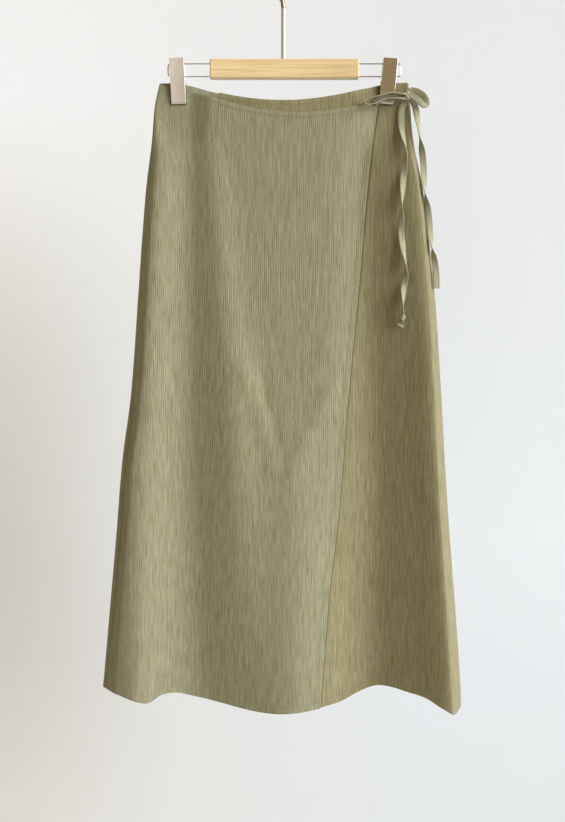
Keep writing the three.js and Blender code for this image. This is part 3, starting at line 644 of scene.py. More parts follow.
def cloth_map(tree):
    return add_node(tree, "ShaderNodeUVMap", uv_map="cloth").outputs["UV"]


def object_place(tree):
    return add_node(tree, "ShaderNodeTexCoord").outputs["Object"]


def mapped_range(tree, source, **values):
    node = add_node(tree, "ShaderNodeMapRange", **values)
    tree.links.new(source, node.inputs["Value"])
    return node.outputs["Result"]


def set_shader(tree, shader, tone, **values):
    """Gives the shader its colour and its values, named with _ for a space."""
    tree.links.new(tone, shader.inputs["Base Color"])
    for key, value in values.items():
        shader.inputs[key.replace("_", " ")].default_value = value


def stretched_noise(tree, source, scale, detail, roughness):
    """Noise on a vector source, stretched by a scale on each axis."""
    mapping = add_node(tree, "ShaderNodeMapping")
    mapping.inputs["Scale"].default_value = scale
    tree.links.new(source, mapping.inputs["Vector"])
    noise = add_node(tree, "ShaderNodeTexNoise", in_Scale=1.0, in_Detail=detail,
                     in_Roughness=roughness)
    tree.links.new(mapping.outputs["Vector"], noise.inputs["Vector"])
    return noise.outputs["Fac"]


def bumped(tree, shader, height, strength, distance, normal=None):
    bump = add_node(tree, "ShaderNodeBump", in_Strength=strength, in_Distance=distance)
    tree.links.new(height, bump.inputs["Height"])
    if normal is not None:
        tree.links.new(normal, bump.inputs["Normal"])
    tree.links.new(bump.outputs["Normal"], shader.inputs["Normal"])
    return bump.outputs["Normal"]


def crepe_material(name, color, shade, seed):
    """Crinkle crepe on a panel's own cloth map, with the ribs read from the mesh."""
    material, tree, shader = node_material(name)
    shifted = add_node(tree, "ShaderNodeMapping")
    shifted.inputs["Location"].default_value = (seed, 0.37 * seed, 0.71 * seed)
    tree.links.new(cloth_map(tree), shifted.inputs["Vector"])
    place = shifted.outputs["Vector"]
    threads = stretched_noise(tree, place, (620, 46, 1), 3, 0.6)
    slubs = stretched_noise(tree, place, (300, 24, 1), 2, 0.55)
    patches = stretched_noise(tree, place, (9, 5, 1), 3, 0.5)
    grain = stretched_noise(tree, place, (2600, 2200, 1), 2, 0.7)
    # Painted shade and highlight: the furrow colour where the ribs and the thread bump sink, a
    # lighter colour where the threads rise
    by_rib = color_ramp(tree, read_attribute(tree, "rib"), (0.18, shade), (0.62, color))
    light = scaled(color, 1.24, 0.012)
    thready = color_ramp(tree, threads, (0.34, shade), (0.52, color), (0.7, light))
    tone = mixed(tree, 0.5, by_rib, thready)
    tone = tinted(tree, tone, 1.0, slubs, (0.3, (0.87, 0.86, 0.82)), (0.7, (1.09, 1.09, 1.1)))
    tone = tinted(tree, tone, 1.0, patches, (0.3, (0.97, 0.97, 0.955)),
                  (0.7, (1.025, 1.025, 1.03)))
    # Painted shade: a dark colour mixed in at the stitch grooves, round the clips' feet and along
    # the overlap's edge
    with_painted_shade = mixed(tree, read_attribute(tree, "painted_shade"), tone, scaled(color, (0.52, 0.48, 0.36)))
    set_shader(tree, shader, with_painted_shade, Roughness=0.88, Specular_IOR_Level=0.25, Sheen_Weight=0.12,
               Sheen_Roughness=0.45, Sheen_Tint=(0.9, 0.9, 0.8, 1))
    coarse = bumped(tree, shader, threads, 0.55, 0.0004)
    bumped(tree, shader, grain, 0.3, 0.00008, coarse)
    return material


def tie_material(color):
    """Pressed crepe along a tie, with painted shade where the groove of its stitch line is."""
    material, tree, shader = node_material("tie_crepe")
    cloth = cloth_map(tree)
    threads = stretched_noise(tree, cloth, (700, 60, 1), 3, 0.6)
    grain = stretched_noise(tree, cloth, (2600, 2200, 1), 2, 0.7)
    # Painted shade and highlight: darker where the thread bump sinks, lighter where it rises
    tone = color_ramp(tree, threads, (0.3, scaled(color, 0.68)), (0.5, color),
                      (0.72, scaled(color, 1.15)))
    # Painted shade: a dark colour mixed in along the stitch line's groove
    with_painted_shade = mixed(tree, read_attribute(tree, "painted_shade"), tone, scaled(color, 0.55))
    set_shader(tree, shader, with_painted_shade, Roughness=0.86, Specular_IOR_Level=0.25, Sheen_Weight=0.15)
    coarse = bumped(tree, shader, threads, 0.5, 0.00025)
    bumped(tree, shader, grain, 0.3, 0.00008, coarse)
    return material


def thread_material(color):
    """Spun thread."""
    material, tree, shader = node_material("sewing_thread")
    twist = stretched_noise(tree, object_place(tree), (1800, 1800, 1800), 2, 0.6)
    tone = color_ramp(tree, twist, (0.35, scaled(color, 0.75)), (0.65, color))
    set_shader(tree, shader, tone, Roughness=0.6)
    return material


def wood_material(color, grain_color):
    """Beech with its grain along the bar, small flecks and a satin varnish."""
    material, tree, shader = node_material("beech")
    place = object_place(tree)
    streaks = stretched_noise(tree, place, (9, 420, 420), 4, 0.62)
    flecks = stretched_noise(tree, place, (150, 900, 1300), 2, 0.6)
    broad = stretched_noise(tree, place, (7, 60, 60), 2, 0.5)
    light = scaled(color, 1.1, 0.02)
    tone = color_ramp(tree, streaks, (0.32, grain_color), (0.5, color), (0.7, light))
    tone = tinted(tree, tone, 0.75, flecks, (0.3, (0.84, 0.76, 0.66)), (0.42, (1, 1, 1)))
    tone = tinted(tree, tone, 1.0, broad, (0.35, (0.94, 0.92, 0.88)), (0.65, (1.03, 1.03, 1.04)))
    set_shader(tree, shader, tone, Coat_Weight=0.25, Coat_Roughness=0.3)
    rough = mapped_range(tree, streaks, in_To_Min=0.34, in_To_Max=0.5)
    tree.links.new(rough, shader.inputs["Roughness"])
    bumped(tree, shader, streaks, 0.18, 0.0003)
    return material


def metal_material(name, color, roughness, brushed=(60, 60, 900), metallic=1.0):
    """Plated metal with faint polishing lines and small wear spots."""
    material, tree, shader = node_material(name)
    place = object_place(tree)
    lines = stretched_noise(tree, place, brushed, 3, 0.6)
    spots = stretched_noise(tree, place, (140, 140, 140), 4, 0.65)
    tone = color_ramp(tree, spots, (0.28, scaled(color, 0.86)), (0.42, color))
    set_shader(tree, shader, tone, Metallic=metallic)
    rough = mapped_range(tree, lines, in_To_Min=roughness - 0.05, in_To_Max=roughness + 0.08)
    tree.links.new(rough, shader.inputs["Roughness"])
    bumped(tree, shader, lines, 0.06, 0.0002)
    return material


def grid_quads(index):
    quads = np.stack((index[:-1, :-1], index[1:, :-1], index[1:, 1:], index[:-1, 1:]), -1)
    return quads.reshape(-1, 4)


def grid_rim(index):
    return np.concatenate((
        index[0, :-1], index[:-1, -1], index[-1, :0:-1], index[:0:-1, 0],
    ))


def panel_shares(top_rows, middle_rows, hem_rows):
    """Shares of the way down for a panel's rows, close together at its top edge and hem."""
    return np.concatenate((
        np.linspace(0, TOP_SHARE, top_rows, endpoint=False),
        np.linspace(TOP_SHARE, HEM_SHARE, middle_rows + 1),
        np.linspace(HEM_SHARE, 1, hem_rows + 1)[1:],
    ))


def lay_panel(cloth, point_at, first, last, levels, facing, inwards, grain_x, relaxed, seed,
              extra=None):
    """Everything a panel's mesh and stitches need: an even grid of points on its outer face,
    its directions out of the cloth, its cloth map and its distances from its edges. The ribs
    are upright where x is grain_x. inwards is how far it lies behind the overlap's face, and
    relaxed is how strong its ribs are."""
    shares = panel_shares(*PANEL_ROWS)
    dense = np.linspace(first, last, MEASURED_COLUMNS)
    line, *_ = on_panel(point_at, *np.meshgrid(dense, shares), levels)
    steps = np.linalg.norm(np.diff(line, axis=1), axis=2)
    reach = np.concatenate((np.zeros((len(shares), 1)), np.cumsum(steps, axis=1)), axis=1)
    even = np.linspace(0, 1, PANEL_COLUMNS + 1)
    column = np.array([np.interp(even * r[-1], r, dense) for r in reach])
    share = np.repeat(shares[:, None], PANEL_COLUMNS + 1, axis=1)
    points, drop, below_top, above_hem = on_panel(point_at, column, share, levels)
    across = np.gradient(points, axis=1)
    down = np.gradient(points, axis=0)
    out = np.cross(across, down) * facing
    out /= np.linalg.norm(out, axis=2, keepdims=True)
    width = reach[:, -1:]
    flat_part = slice(60, -60)  # x only grows along a row away from its turned sides
    onset = [np.interp(grain_x, row[flat_part, 0], r[flat_part]) for row, r in zip(line, reach)]
    u = even[None, :] * width - np.array(onset)[:, None]
    rib = crinkle(u * MM, drop * MM, cloth.rib_pitch, seed)
    band = cloth.waist_band / MM
    hem = cloth.hem / MM
    # The ribs vanish under the clips, and are lower on the turned edges and towards the hem
    flat = 1 - grip_at(points[..., 0], drop)
    calm = 1 - 0.5 * (1 - smoothstep(below_top, 0.6 * band, 1.5 * band))
    calm = calm * (1 - 0.35 * (1 - smoothstep(above_hem, 0.8 * hem, 1.2 * hem)))
    calm = calm * lerp(1, 0.62, smoothstep(drop, 300, 700)) * relaxed
    height = rib * cloth.rib_height / MM * flat * calm
    # The turned edges stand out a little, with a groove along their stitches
    turned = 1 - smoothstep(above_hem, hem - 1.4, hem + 0.4)
    turned = np.maximum(turned, 1 - smoothstep(below_top, band - 1.2, band + 0.4))
    height = height + 0.28 * turned * flat
    groove = np.exp(-((above_hem - hem + SEWN_IN) / 0.9) ** 2)
    groove = np.maximum(groove, np.exp(-((below_top - band + SEWN_IN) / 0.9) ** 2))
    height = height - 0.3 * groove * flat
    # Painted shade: the groove along the stitches is darkened in colour
    painted_shade = 0.35 * groove
    # Painted shade: a dark contact shadow close round the clips' feet, and a dark shadow line along
    # the overlap's edge on what it lies on
    if facing < 0:
        for grip_x in GRIP_X:
            aside = np.maximum(np.abs(points[..., 0] - grip_x) - CLIP_WIDTH / 2, 0)
            below = np.maximum(drop - CLIP_DROP - JAW_FOOT - 0.4, 0)
            painted_shade = np.maximum(painted_shade, 1.2 * np.exp(-(np.hypot(aside, below) / 1.5) ** 2))
    if inwards:
        beyond = points[..., 0] - overlap_edge_at(drop)
        painted_shade = np.maximum(painted_shade, 1.9 * np.exp(-((beyond - 0.6) / 1.9) ** 2))
    if extra is not None:
        height = height + extra(points[..., 0], drop, (1 - even[None, :]) * width) * flat
    return {
        "face": points + out * (height - inwards - FACE_IN)[..., None],
        "smooth": points - out * (inwards + FACE_IN), "out": out, "u": u, "v": drop,
        "rib": 0.5 + 0.5 * rib, "painted_shade": painted_shade, "below_top": below_top,
        "above_hem": above_hem, "width": width,
    }


def panel_mesh(name, laid, wall, material):
    """A closed cloth with rounded edges from a laid panel. Its inner face has fewer points."""
    out = laid["out"]
    high, wide = out.shape[:2]
    outer = laid["face"].reshape(-1, 3)
    inner_grid = (laid["smooth"] - out * wall)[::INNER_STEP, ::INNER_STEP]
    inner = inner_grid.reshape(-1, 3)
    index = np.arange(high * wide).reshape(high, wide)
    few = np.arange(len(inner)).reshape(inner_grid.shape[:2]) + high * wide
    rim = grid_rim(index)
    nearest = np.clip(np.stack(np.divmod(rim, wide)), 1, [[high - 2], [wide - 2]])
    inside = index[nearest[0], nearest[1]]
    outwards = outer[rim] - outer[inside]
    outwards /= np.linalg.norm(outwards, axis=1, keepdims=True)
    edge_out = out.reshape(-1, 3)[rim]
    middle = outer[rim] - edge_out * wall / 2 + outwards * wall * 0.42
    points = np.concatenate((outer, inner, middle)) * MM
    ring = high * wide + len(inner) + np.arange(len(rim))
    after = np.roll(rim, -1)
    ring_after = np.roll(ring, -1)
    quads = np.concatenate((
        grid_quads(index), grid_quads(few)[:, ::-1],
        np.stack((rim, after, ring_after, ring), -1),
    ))
    inner_rim = grid_rim(few)
    owner = np.arange(len(rim)) // INNER_STEP
    half = np.arange(len(rim)) % INNER_STEP < INNER_STEP // 2
    mine, following = inner_rim[owner], np.roll(inner_rim, -1)[owner]
    triangles = np.stack((ring, ring_after, np.where(half, mine, following)), -1)
    turn = np.arange(len(inner_rim)) * INNER_STEP + INNER_STEP // 2
    joining = np.stack((ring[turn], np.roll(inner_rim, -1), inner_rim), -1)
    triangles = np.concatenate((triangles, joining))

    def flat(values):
        few_values = values[::INNER_STEP, ::INNER_STEP].ravel()
        return np.concatenate((values.ravel(), few_values, values.ravel()[rim]))

    uv = np.stack((flat(laid["u"]) * MM, -flat(laid["v"]) * MM), -1)
    fields = {"rib": flat(laid["rib"]), "painted_shade": flat(laid["painted_shade"])}
    return mesh_piece(name, points, [quads, triangles], material, uv, fields)


def level_line(laid, key, value):
    """Points and outward directions along the line where a distance from an edge has a value."""
    field, face, out = laid[key], laid["face"], laid["out"]
    lines = []
    for j in range(field.shape[1]):
        order = np.argsort(field[:, j])
        row = np.interp(value, field[order, j], order.astype(float))
        low = min(int(row), field.shape[0] - 2)
        part = row - low
        lines.append((lerp(face[low, j], face[low + 1, j], part), out[low, j]))
    return np.array([a for a, _ in lines]), np.array([b for _, b in lines])


def stitches(name, lines, length, material):
    """Short threads sewn along lines on the cloth. Both ends of each dip into it."""
    ring = [(math.cos(a), math.sin(a)) for a in np.arange(6) * math.pi / 3]
    # Share of a stitch's length, radius and rise above the cloth
    profile = ((-0.5, 0.05, -0.22), (-0.36, 0.2, 0.02), (0.36, 0.2, 0.02), (0.5, 0.05, -0.22))
    points, quads = [], []
    for line, out in lines:
        steps = np.linalg.norm(np.diff(line, axis=0), axis=1)
        along = np.concatenate(((0,), np.cumsum(steps)))
        count = int(along[-1] / length)

        def read(values, at):
            return np.array([np.interp(at, along, values[:, k]) for k in range(3)])

        for at in (np.arange(count) + 0.5) * along[-1] / count:
            middle = read(line, at)
            step = read(line, at + 1) - read(line, at - 1)
            forward = step / max(np.linalg.norm(step), 1e-6)
            up = read(out, at)
            up -= forward * up.dot(forward)
            up /= np.linalg.norm(up)
            side = np.cross(forward, up)
            base = len(points)
            for place, radius, rise in profile:
                centre = middle + forward * place * 0.86 * length + up * rise
                points += [centre + radius * (side * c + up * s) for c, s in ring]
            for part in range(len(profile) - 1):
                for k in range(6):
                    a = base + part * 6 + k
                    b = base + part * 6 + (k + 1) % 6
                    quads.append((a, b, b + 6, a + 6))
            for start, turn in ((base, 1), (base + 18, -1)):
                cap = [start + k for k in range(6)][::turn]
                quads.append((cap[0], cap[3], cap[2], cap[1]))
                quads.append((cap[0], cap[5], cap[4], cap[3]))
    return mesh_piece(name, np.array(points) * MM, [quads], material)


class SKIRT_OT_panels(bpy.types.Operator):
    """Make the three cloth panels with their ribs, turned edges and creases"""
    bl_idname = "skirt.panels"
    bl_label = "Panels"

    def execute(self, context):
        cloth = context.scene.skirt_cloth
        overlap = lay_panel(cloth, front_point, 0, EDGE,
                            (overlap_top_at, front_waist_at, front_hem_at),
                            -1, 0, 0, 1, 11, overlap_relief)
        under = lay_panel(cloth, front_point, HIDDEN, FRONT_END,
                          (front_waist_at, front_waist_at, front_hem_at),
                          -1, LAYER_STEP, 130, 0.7, 23)
        back = lay_panel(cloth, back_point, 0, BACK_END,
                         (back_waist_at, back_waist_at, back_hem_at), 1, 0, 0, 0.8, 37)
        color, shade = tuple(cloth.color), tuple(cloth.shade)
        # Painted shade: the under panel gets a darker, warmer copy of the same crepe and the back a
        # darker one, for the shade they hang in
        shaded_under_color, shaded_under_furrows = scaled(color, (0.9, 0.83, 0.72)), scaled(shade, (0.97, 0.93, 0.86))
        sewn = thread_material(tuple(cloth.thread))
        for name, laid, slot, node, colors, seed in (
            ("overlap_panel", overlap, "crepe_overlap", "front_overlap", (color, shade), 0.0),
            ("under_panel", under, "crepe_under", "front_under", (shaded_under_color, shaded_under_furrows), 3.0),
            ("skirt_back", back, "crepe_back", "back_panel", (scaled(color, 0.9), shade), 7.0),
        ):
            material = crepe_material(slot, *colors, seed)
            piece = panel_mesh(name, laid, cloth.wall / MM, material)
            finish_piece(piece, slot, node)
            lines = [
                level_line(laid, "below_top", cloth.waist_band / MM - SEWN_IN),
                level_line(laid, "above_hem", cloth.hem / MM - SEWN_IN),
            ]
            thread = stitches(name + "_stitching", lines, cloth.stitch / MM, sewn)
            finish_piece(thread, slot)
        return {"FINISHED"}


def tie_line(rows):
    """Points and twists of a tie's middle line, just in front of the panel where y is None."""
    points = []
    for x, drop, y, twist in rows:
        if y is None:
            left, right, left_turn, right_turn, _, front, _ = section_at(drop)
            sides = (left, right, left_turn, right_turn)
            spot = np.array([float(x)])
            panel = stand_off(spot, drop, right_turn, sides, FRONT_FOLDS, front, WALL)[0]
            reach = BAND_WIDTH / 2 * abs(math.sin(math.radians(twist)))
            y = -panel - reach - BAND_THICKNESS / 2 - BAND_CLEAR
        points.append((x, y, -drop))
    return np.array(points, float), np.array([row[3] for row in rows], float)


def curve_point(points, share):
    """A point of the smooth curve through points, by share of its stretches, the same curve as
    the model's."""
    last = len(points) - 1
    at = min(max(share, 0), 1) * last
    i = min(int(at), last - 1)
    weight = at - i
    p1, p2 = points[i], points[i + 1]
    p0 = points[i - 1] if i > 0 else 2 * points[0] - points[1]
    p3 = points[i + 2] if i + 2 <= last else 2 * points[last] - points[last - 1]
    d0, d1, d2 = (max(np.linalg.norm(b - a), 1e-6) ** 0.5
                  for a, b in ((p0, p1), (p1, p2), (p2, p3)))
    t1 = ((p1 - p0) / d0 - (p2 - p0) / (d0 + d1) + (p2 - p1) / d1) * d1
    t2 = ((p2 - p1) / d1 - (p3 - p1) / (d1 + d2) + (p3 - p2) / d2) * d1
    c2 = -3 * p1 + 3 * p2 - 2 * t1 - t2
    c3 = 2 * p1 - 2 * p2 + t1 + t2
    return p1 + t1 * weight + c2 * weight ** 2 + c3 * weight ** 3


def strip_section(width, thickness):
    """Outline of a folded tie: across, through, and how near its stitch line each point is."""
    half, deep = width / 2, thickness / 2
    flat = half - deep
    places = np.linspace(-flat, flat, 13)
    stitch = flat - 0.9
    outline = []
    for side in (-1, 1):
        for place in (places if side < 0 else places[::-1]):
            groove = math.exp(-((place - stitch) / 0.45) ** 2)
            outline.append((place, side * (deep - 0.16 * groove), groove))
        for angle in (-60, -30, 0, 30, 60):
            turn = math.radians(angle)
            outline.append((-side * (flat + deep * math.cos(turn)), side * deep * math.sin(turn),
                            0.0))
    return outline


def strip_piece(name, rows, steps, width, thickness, material, seed, taper=None):
    """A tie: a folded strip twisted about its middle line, with a crushed, uneven surface."""
    points, twists = tie_line(rows)
    read_twist = line_reader([(i / (len(rows) - 1), t) for i, t in enumerate(twists)])
    outline = strip_section(width, thickness)
    rings, uv, groove_shade, path = [], [], [], []
    travelled = 0.0
    forward_axis = np.array((0, -1.0, 0))
    previous = None
    for step in range(steps + 1):
        share = step / steps
        middle = curve_point(points, share)
        along = curve_point(points, share + 1e-4) - curve_point(points, share - 1e-4)
        along /= np.linalg.norm(along)
        face = forward_axis - along * forward_axis.dot(along)
        face /= np.linalg.norm(face)
        turn = math.radians(float(read_twist(share)))
        face = face * math.cos(turn) + np.cross(along, face) * math.sin(turn)
        across = np.cross(along, face)
        if previous is not None:
            travelled += np.linalg.norm(middle - previous)
        previous = middle
        path.append(middle)
        # The strip's width swells, and its face bows, along its length
        spread = 1.0 if taper is None else taper(share)
        swell = 1 + 0.05 * math.sin(travelled / 7.3 + seed)
        bow = 0.35 * math.sin(travelled / 11.0 + 2 * seed)
        for a, b, groove in outline:
            crush = 0.09 * dashes(np.array([a]), np.array([travelled]), 1.7, 9.0, seed)[0]
            cup = bow * ((a / (width / 2)) ** 2 - 0.4)
            rings.append(middle + across * a * spread * swell + face * (b + crush + cup))
            uv.append((a * MM, travelled * MM))
            # Painted shade along the groove of the stitch line
            groove_shade.append(0.5 * groove)
    count = len(outline)
    quads = []
    for step in range(steps):
        for k in range(count):
            a = step * count + k
            b = step * count + (k + 1) % count
            quads.append((a, b, b + count, a + count))
    for base, turn in ((0, 1), (steps * count, -1)):
        cap = [base + k for k in range(count)][::turn]
        for k in range(1, count // 2):
            quads.append((cap[k - 1], cap[(count - k) % count], cap[count - k - 1], cap[k]))
    piece = mesh_piece(name, np.array(rings) * MM, [quads], material, np.array(uv),
                       {"painted_shade": np.array(groove_shade)})
    return piece, np.array(path) * MM, travelled * MM


class SKIRT_OT_ties(bpy.types.Operator):
    """Make the ties, their bow and their knots"""
    bl_idname = "skirt.ties"
    bl_label = "Ties and bow"

    def execute(self, context):
        ties = context.scene.skirt_ties
        width = ties.width / MM
        thick = ties.thickness / MM
        material = tie_material(tuple(ties.color))
        made = {}
        for name, node, rows, steps, seed, taper in (
            ("tie_strap_sewn", "tie_strap", STRAP, 40, 3, None),
            ("bow_left", "bow_loop_left", LEFT_LOOP, 120, 5, None),
            ("bow_right", "bow_loop_right", RIGHT_LOOP, 90, 7, None),
            ("front_tail", "tie_tail_front", FRONT_TAIL, 260, 11, None),
            ("front_tail_end", "tie_end", TAIL_END, 16, 13, lambda s: 0.8 + 0.35 * s),
            ("back_tail", "tie_tail_back", BACK_TAIL, 220, 17, None),
        ):
            made[name] = strip_piece(name, rows, steps, width, thick, material, seed, taper)
            finish_piece(made[name][0], "crepe_tie", node)
        foot = made["front_tail"][1][-1] / MM
        (x, drop, y), half = KNOT
        knot = wrapped_knot("bow_knot_wrapped", (x, y, -drop), half, material, 2)
        tail_knot = wrapped_knot("tail_knot_wrapped", (foot[0], foot[1], -TAIL_KNOT_DROP),
                                 TAIL_KNOT_HALF, material, 5)
        finish_piece(knot, "crepe_tie", "bow_knot")
        finish_piece(tail_knot, "crepe_tie", "tie_end_knot")
        return {"FINISHED"}


def wrapped_knot(name, middle, half, material, seed):
    """A small knot: a rounded lump with folds that run round it."""
    deselect()
    bpy.ops.mesh.primitive_uv_sphere_add(segments=48, ring_count=32, radius=1)
    piece = bpy.context.object
    piece.name = name
    piece.data.name = name
    mesh = piece.data
    points = np.empty(len(mesh.vertices) * 3)
    mesh.vertices.foreach_get("co", points)
    points = points.reshape(-1, 3)
    x, y, z = points.T
    slant = z + 0.35 * x
    folds = 0.09 * np.cos(slant * 5.2 + seed) + 0.05 * np.sin(3.1 * x + 4.2 * z + seed)
    pinch = 1 - 0.1 * np.exp(-((slant - 0.1) / 0.16) ** 2)
    scale = (1 + folds) * pinch
    shaped = points * scale[:, None] * np.array(half) * 0.94
    shaped += np.array(middle)
    mesh.vertices.foreach_set("co", (shaped * MM).ravel())
    mesh.shade_smooth()
    mesh.uv_layers[0].name = "cloth"
    corners = np.empty(len(mesh.loops), int)
    mesh.loops.foreach_get("vertex_index", corners)
    flat = np.stack((x * half[0], slant * half[2]), -1) * MM
    mesh.uv_layers["cloth"].data.foreach_set("uv", flat[corners].ravel())
    # Painted shade in the knot's sunken folds
    fold_shade = np.clip(-folds * 6, 0, 1) * 0.6
    mesh.attributes.new("painted_shade", "FLOAT", "POINT").data.foreach_set("value", fold_shade)
    mesh.materials.clear()
    mesh.materials.append(material)
    mesh.update()
    piece.select_set(False)
    return piece


def tidy_new(piece, name, material, angle):
    """Puts a modelled piece's place into its mesh, and shades and names it. Edges sharper than
    the angle, in degrees, stay sharp."""
    select_only(piece)
    bpy.ops.object.transform_apply(location=True, rotation=True, scale=True)
    bpy.ops.object.shade_smooth_by_angle(angle=math.radians(angle))
    piece.name = name
    piece.data.name = name
    piece.data.materials.clear()
    piece.data.materials.append(material)
    deselect()
    return piece


def apply_modifiers(piece):
    select_only(piece)
    for modifier in list(piece.modifiers):
        bpy.ops.object.modifier_apply(modifier=modifier.name)
    deselect()


def round_edges(piece, width, segments, angle=30):
    """Rounds the edges sharper than an angle in degrees, or all of them where it is 0."""
    edges = piece.modifiers.new("rounding", "BEVEL")
    edges.width = width
    edges.segments = segments
    edges.limit_method = "ANGLE" if angle else "NONE"
    edges.angle_limit = math.radians(angle)
    apply_modifiers(piece)


def placed_box(size, middle):
    """A box of a size at a place, both in millimetres."""
    deselect()
    bpy.ops.mesh.primitive_cube_add(size=1)
    box = bpy.context.object
    box.scale = Vector(size) * MM
    box.location = Vector(middle) * MM
    bpy.ops.object.transform_apply(location=True, rotation=True, scale=True)
    return box


def even_shading(piece):
    """Keeps broad flat faces evenly shaded beside their rounded edges."""
    shading = piece.modifiers.new("even", "WEIGHTED_NORMAL")
    shading.keep_sharp = True
    apply_modifiers(piece)


def cut_holes(piece, holes):
    """Bores round holes, given as start, end and radius in millimetres."""
    for start, end, radius in holes:
        axis = Vector(end) - Vector(start)
        bpy.ops.mesh.primitive_cylinder_add(vertices=24, radius=radius * MM,
                                            depth=axis.length * MM)
        tool = bpy.context.object
        tool.matrix_world = Matrix.Translation((Vector(start) + Vector(end)) * MM / 2) @ (
            axis.to_track_quat("Z", "Y").to_matrix().to_4x4())
        cut = piece.modifiers.new("bore", "BOOLEAN")
        cut.operation = "DIFFERENCE"
        cut.solver = "EXACT"
        cut.object = tool
        apply_modifiers(piece)
        bpy.data.objects.remove(tool)


def joined(pieces):
    deselect()
    for piece in pieces:
        piece.select_set(True)
    bpy.context.view_layer.objects.active = pieces[0]
    bpy.ops.object.join()
    deselect()
    return pieces[0]


class SKIRT_OT_bar(bpy.types.Operator):
    """Make the hanger's wooden bar with its eased edges and bores"""
    bl_idname = "skirt.bar"
    bl_label = "Wooden bar"

    def execute(self, context):
        hanger = context.scene.skirt_hanger
        left, right = BAR_ENDS
        bar = placed_box((right - left, BAR_DEPTH, BAR_HEIGHT),
                         ((left + right) / 2, 0, -(BAR_DROP + BAR_HEIGHT / 2)))
        round_edges(bar, hanger.bevel, 5, 0)
        holes = [((STEM_X, 0, 2 - BAR_DROP), (STEM_X, 0, -BAR_DROP - STEM_IN_BAR - SEAM_GAP),
                  STEM_RADIUS + SEAM_GAP)]
        for end, outwards in ((left, -1), (right, 1)):
            for drop in RAIL_DROPS:
                holes.append(((end + 2 * outwards, 0, -drop),
                              (end - (RAIL_IN_BAR + SEAM_GAP) * outwards, 0, -drop), RAIL_BORE))
        cut_holes(bar, holes)
        material = wood_material(tuple(hanger.wood), tuple(hanger.grain))
        tidy_new(bar, "beech_bar", material, 40)
        even_shading(bar)
        finish_piece(bar, "bar_wood", "hanger_bar")
        return {"FINISHED"}


def bent_wire(name, points, radii, wire_radius, material, sides):
    """A round wire along points, in millimetres, that narrows as radii say, with closed ends."""
    deselect()
    bpy.ops.curve.primitive_bezier_curve_add()
    wire = bpy.context.object
    data = wire.data
    data.dimensions = "3D"
    spline = data.splines[0]
    spline.bezier_points.add(len(points) - len(spline.bezier_points))
    for knot, place, radius in zip(spline.bezier_points, points, radii):
        knot.co = Vector(place) * MM
        knot.radius = radius
        knot.handle_left_type = knot.handle_right_type = "AUTO"
    data.resolution_u = 6
    data.render_resolution_u = 0
    data.bevel_depth = wire_radius * MM
    data.bevel_resolution = sides
    data.use_fill_caps = True
    bpy.ops.object.convert(target="MESH")
    wire = bpy.context.object
    bpy.ops.object.mode_set(mode="EDIT")
    bpy.ops.mesh.select_all(action="SELECT")
    bpy.ops.mesh.remove_doubles(threshold=1e-6)
    bpy.ops.mesh.normals_make_consistent(inside=False)
    bpy.ops.object.mode_set(mode="OBJECT")
    return tidy_new(wire, name, material, 50)


class SKIRT_OT_hook(bpy.types.Operator):
    """Make the stem and the hook that the hanger hangs by"""
    bl_idname = "skirt.hook"
    bl_label = "Stem and hook"

    def execute(self, context):
        hanger = context.scene.skirt_hanger
        dark = metal_material("bronzed_hook", tuple(hanger.hook), 0.3)
        points = [(x, 0, -drop) for x, drop in HOOK_FOOT]
        radius = HOOK_INNER + HOOK_WIRE
        start, end, step = HOOK_ANGLES
        for angle in np.arange(start, end - 0.1, -step):
            turn = math.radians(angle)
            points.append((radius * math.cos(turn), 0, radius * math.sin(turn) - HOOK_INNER))
        last = np.array(points[-1])
        heading = last - np.array(points[-2])
        heading /= np.linalg.norm(heading)
        radii = [1.0] * len(points)
        for ahead, share in ((0.9, 0.94), (1.7, 0.72), (2.2, 0.3)):
            points.append(tuple(last + heading * ahead))
            radii.append(share)
        hook = bent_wire("wire_hook", points, radii, HOOK_WIRE, dark, 6)
        finish_piece(hook, "hook_metal", "hanger_hook")
        lacquer = metal_material("champagne_stem", tuple(hanger.stem), 0.32, (900, 900, 60), 0.55)
        deselect()
        top, foot = -STEM_DROP, -BAR_DROP - STEM_IN_BAR
        bpy.ops.mesh.primitive_cylinder_add(
            vertices=40, radius=STEM_RADIUS * MM, depth=(top - foot) * MM,
            location=(STEM_X * MM, 0, (top + foot) / 2 * MM))
        stem = bpy.context.object
        round_edges(stem, 0.0005, 3, 60)
        tidy_new(stem, "lacquered_stem", lacquer, 40)
        finish_piece(stem, "stem_metal", "hanger_stem")
        return {"FINISHED"}


class SKIRT_OT_rails(bpy.types.Operator):
    """Make the two wire rails that the clips slide on"""
    bl_idname = "skirt.rails"
    bl_label = "Wire rails"

    def execute(self, context):
        rail = tuple(context.scene.skirt_hanger.rail)
        nickel = metal_material("nickel_wire", rail, 0.22, (900, 900, 900))
        upper, lower = RAIL_DROPS
        for name, end in RAIL_ENDS.items():
            out = -1 if end < 0 else 1
            inside = (BAR_ENDS[0] if end < 0 else BAR_ENDS[1]) - out * RAIL_IN_BAR
            points = [(x, 0, -upper) for x in np.linspace(inside, end - out * RAIL_BEND, 5)]
            for angle in (22.5, 45, 67.5, 90):
                turn = math.radians(angle)
                points.append((end - out * RAIL_BEND * (1 - math.sin(turn)), 0,
                               -upper - RAIL_BEND * (1 - math.cos(turn))))
            points += [(x, 0, -(upper + lower) - z) for x, _, z in points[::-1]]
            wire = bent_wire(name + "_wire", points, [1.0] * len(points), RAIL_RADIUS, nickel, 5)
            finish_piece(wire, "rail_metal", name)
        return {"FINISHED"}


def side_view(rows, drop):
    return float(np.interp(drop, [r[1] for r in rows], [r[0] for r in rows]))


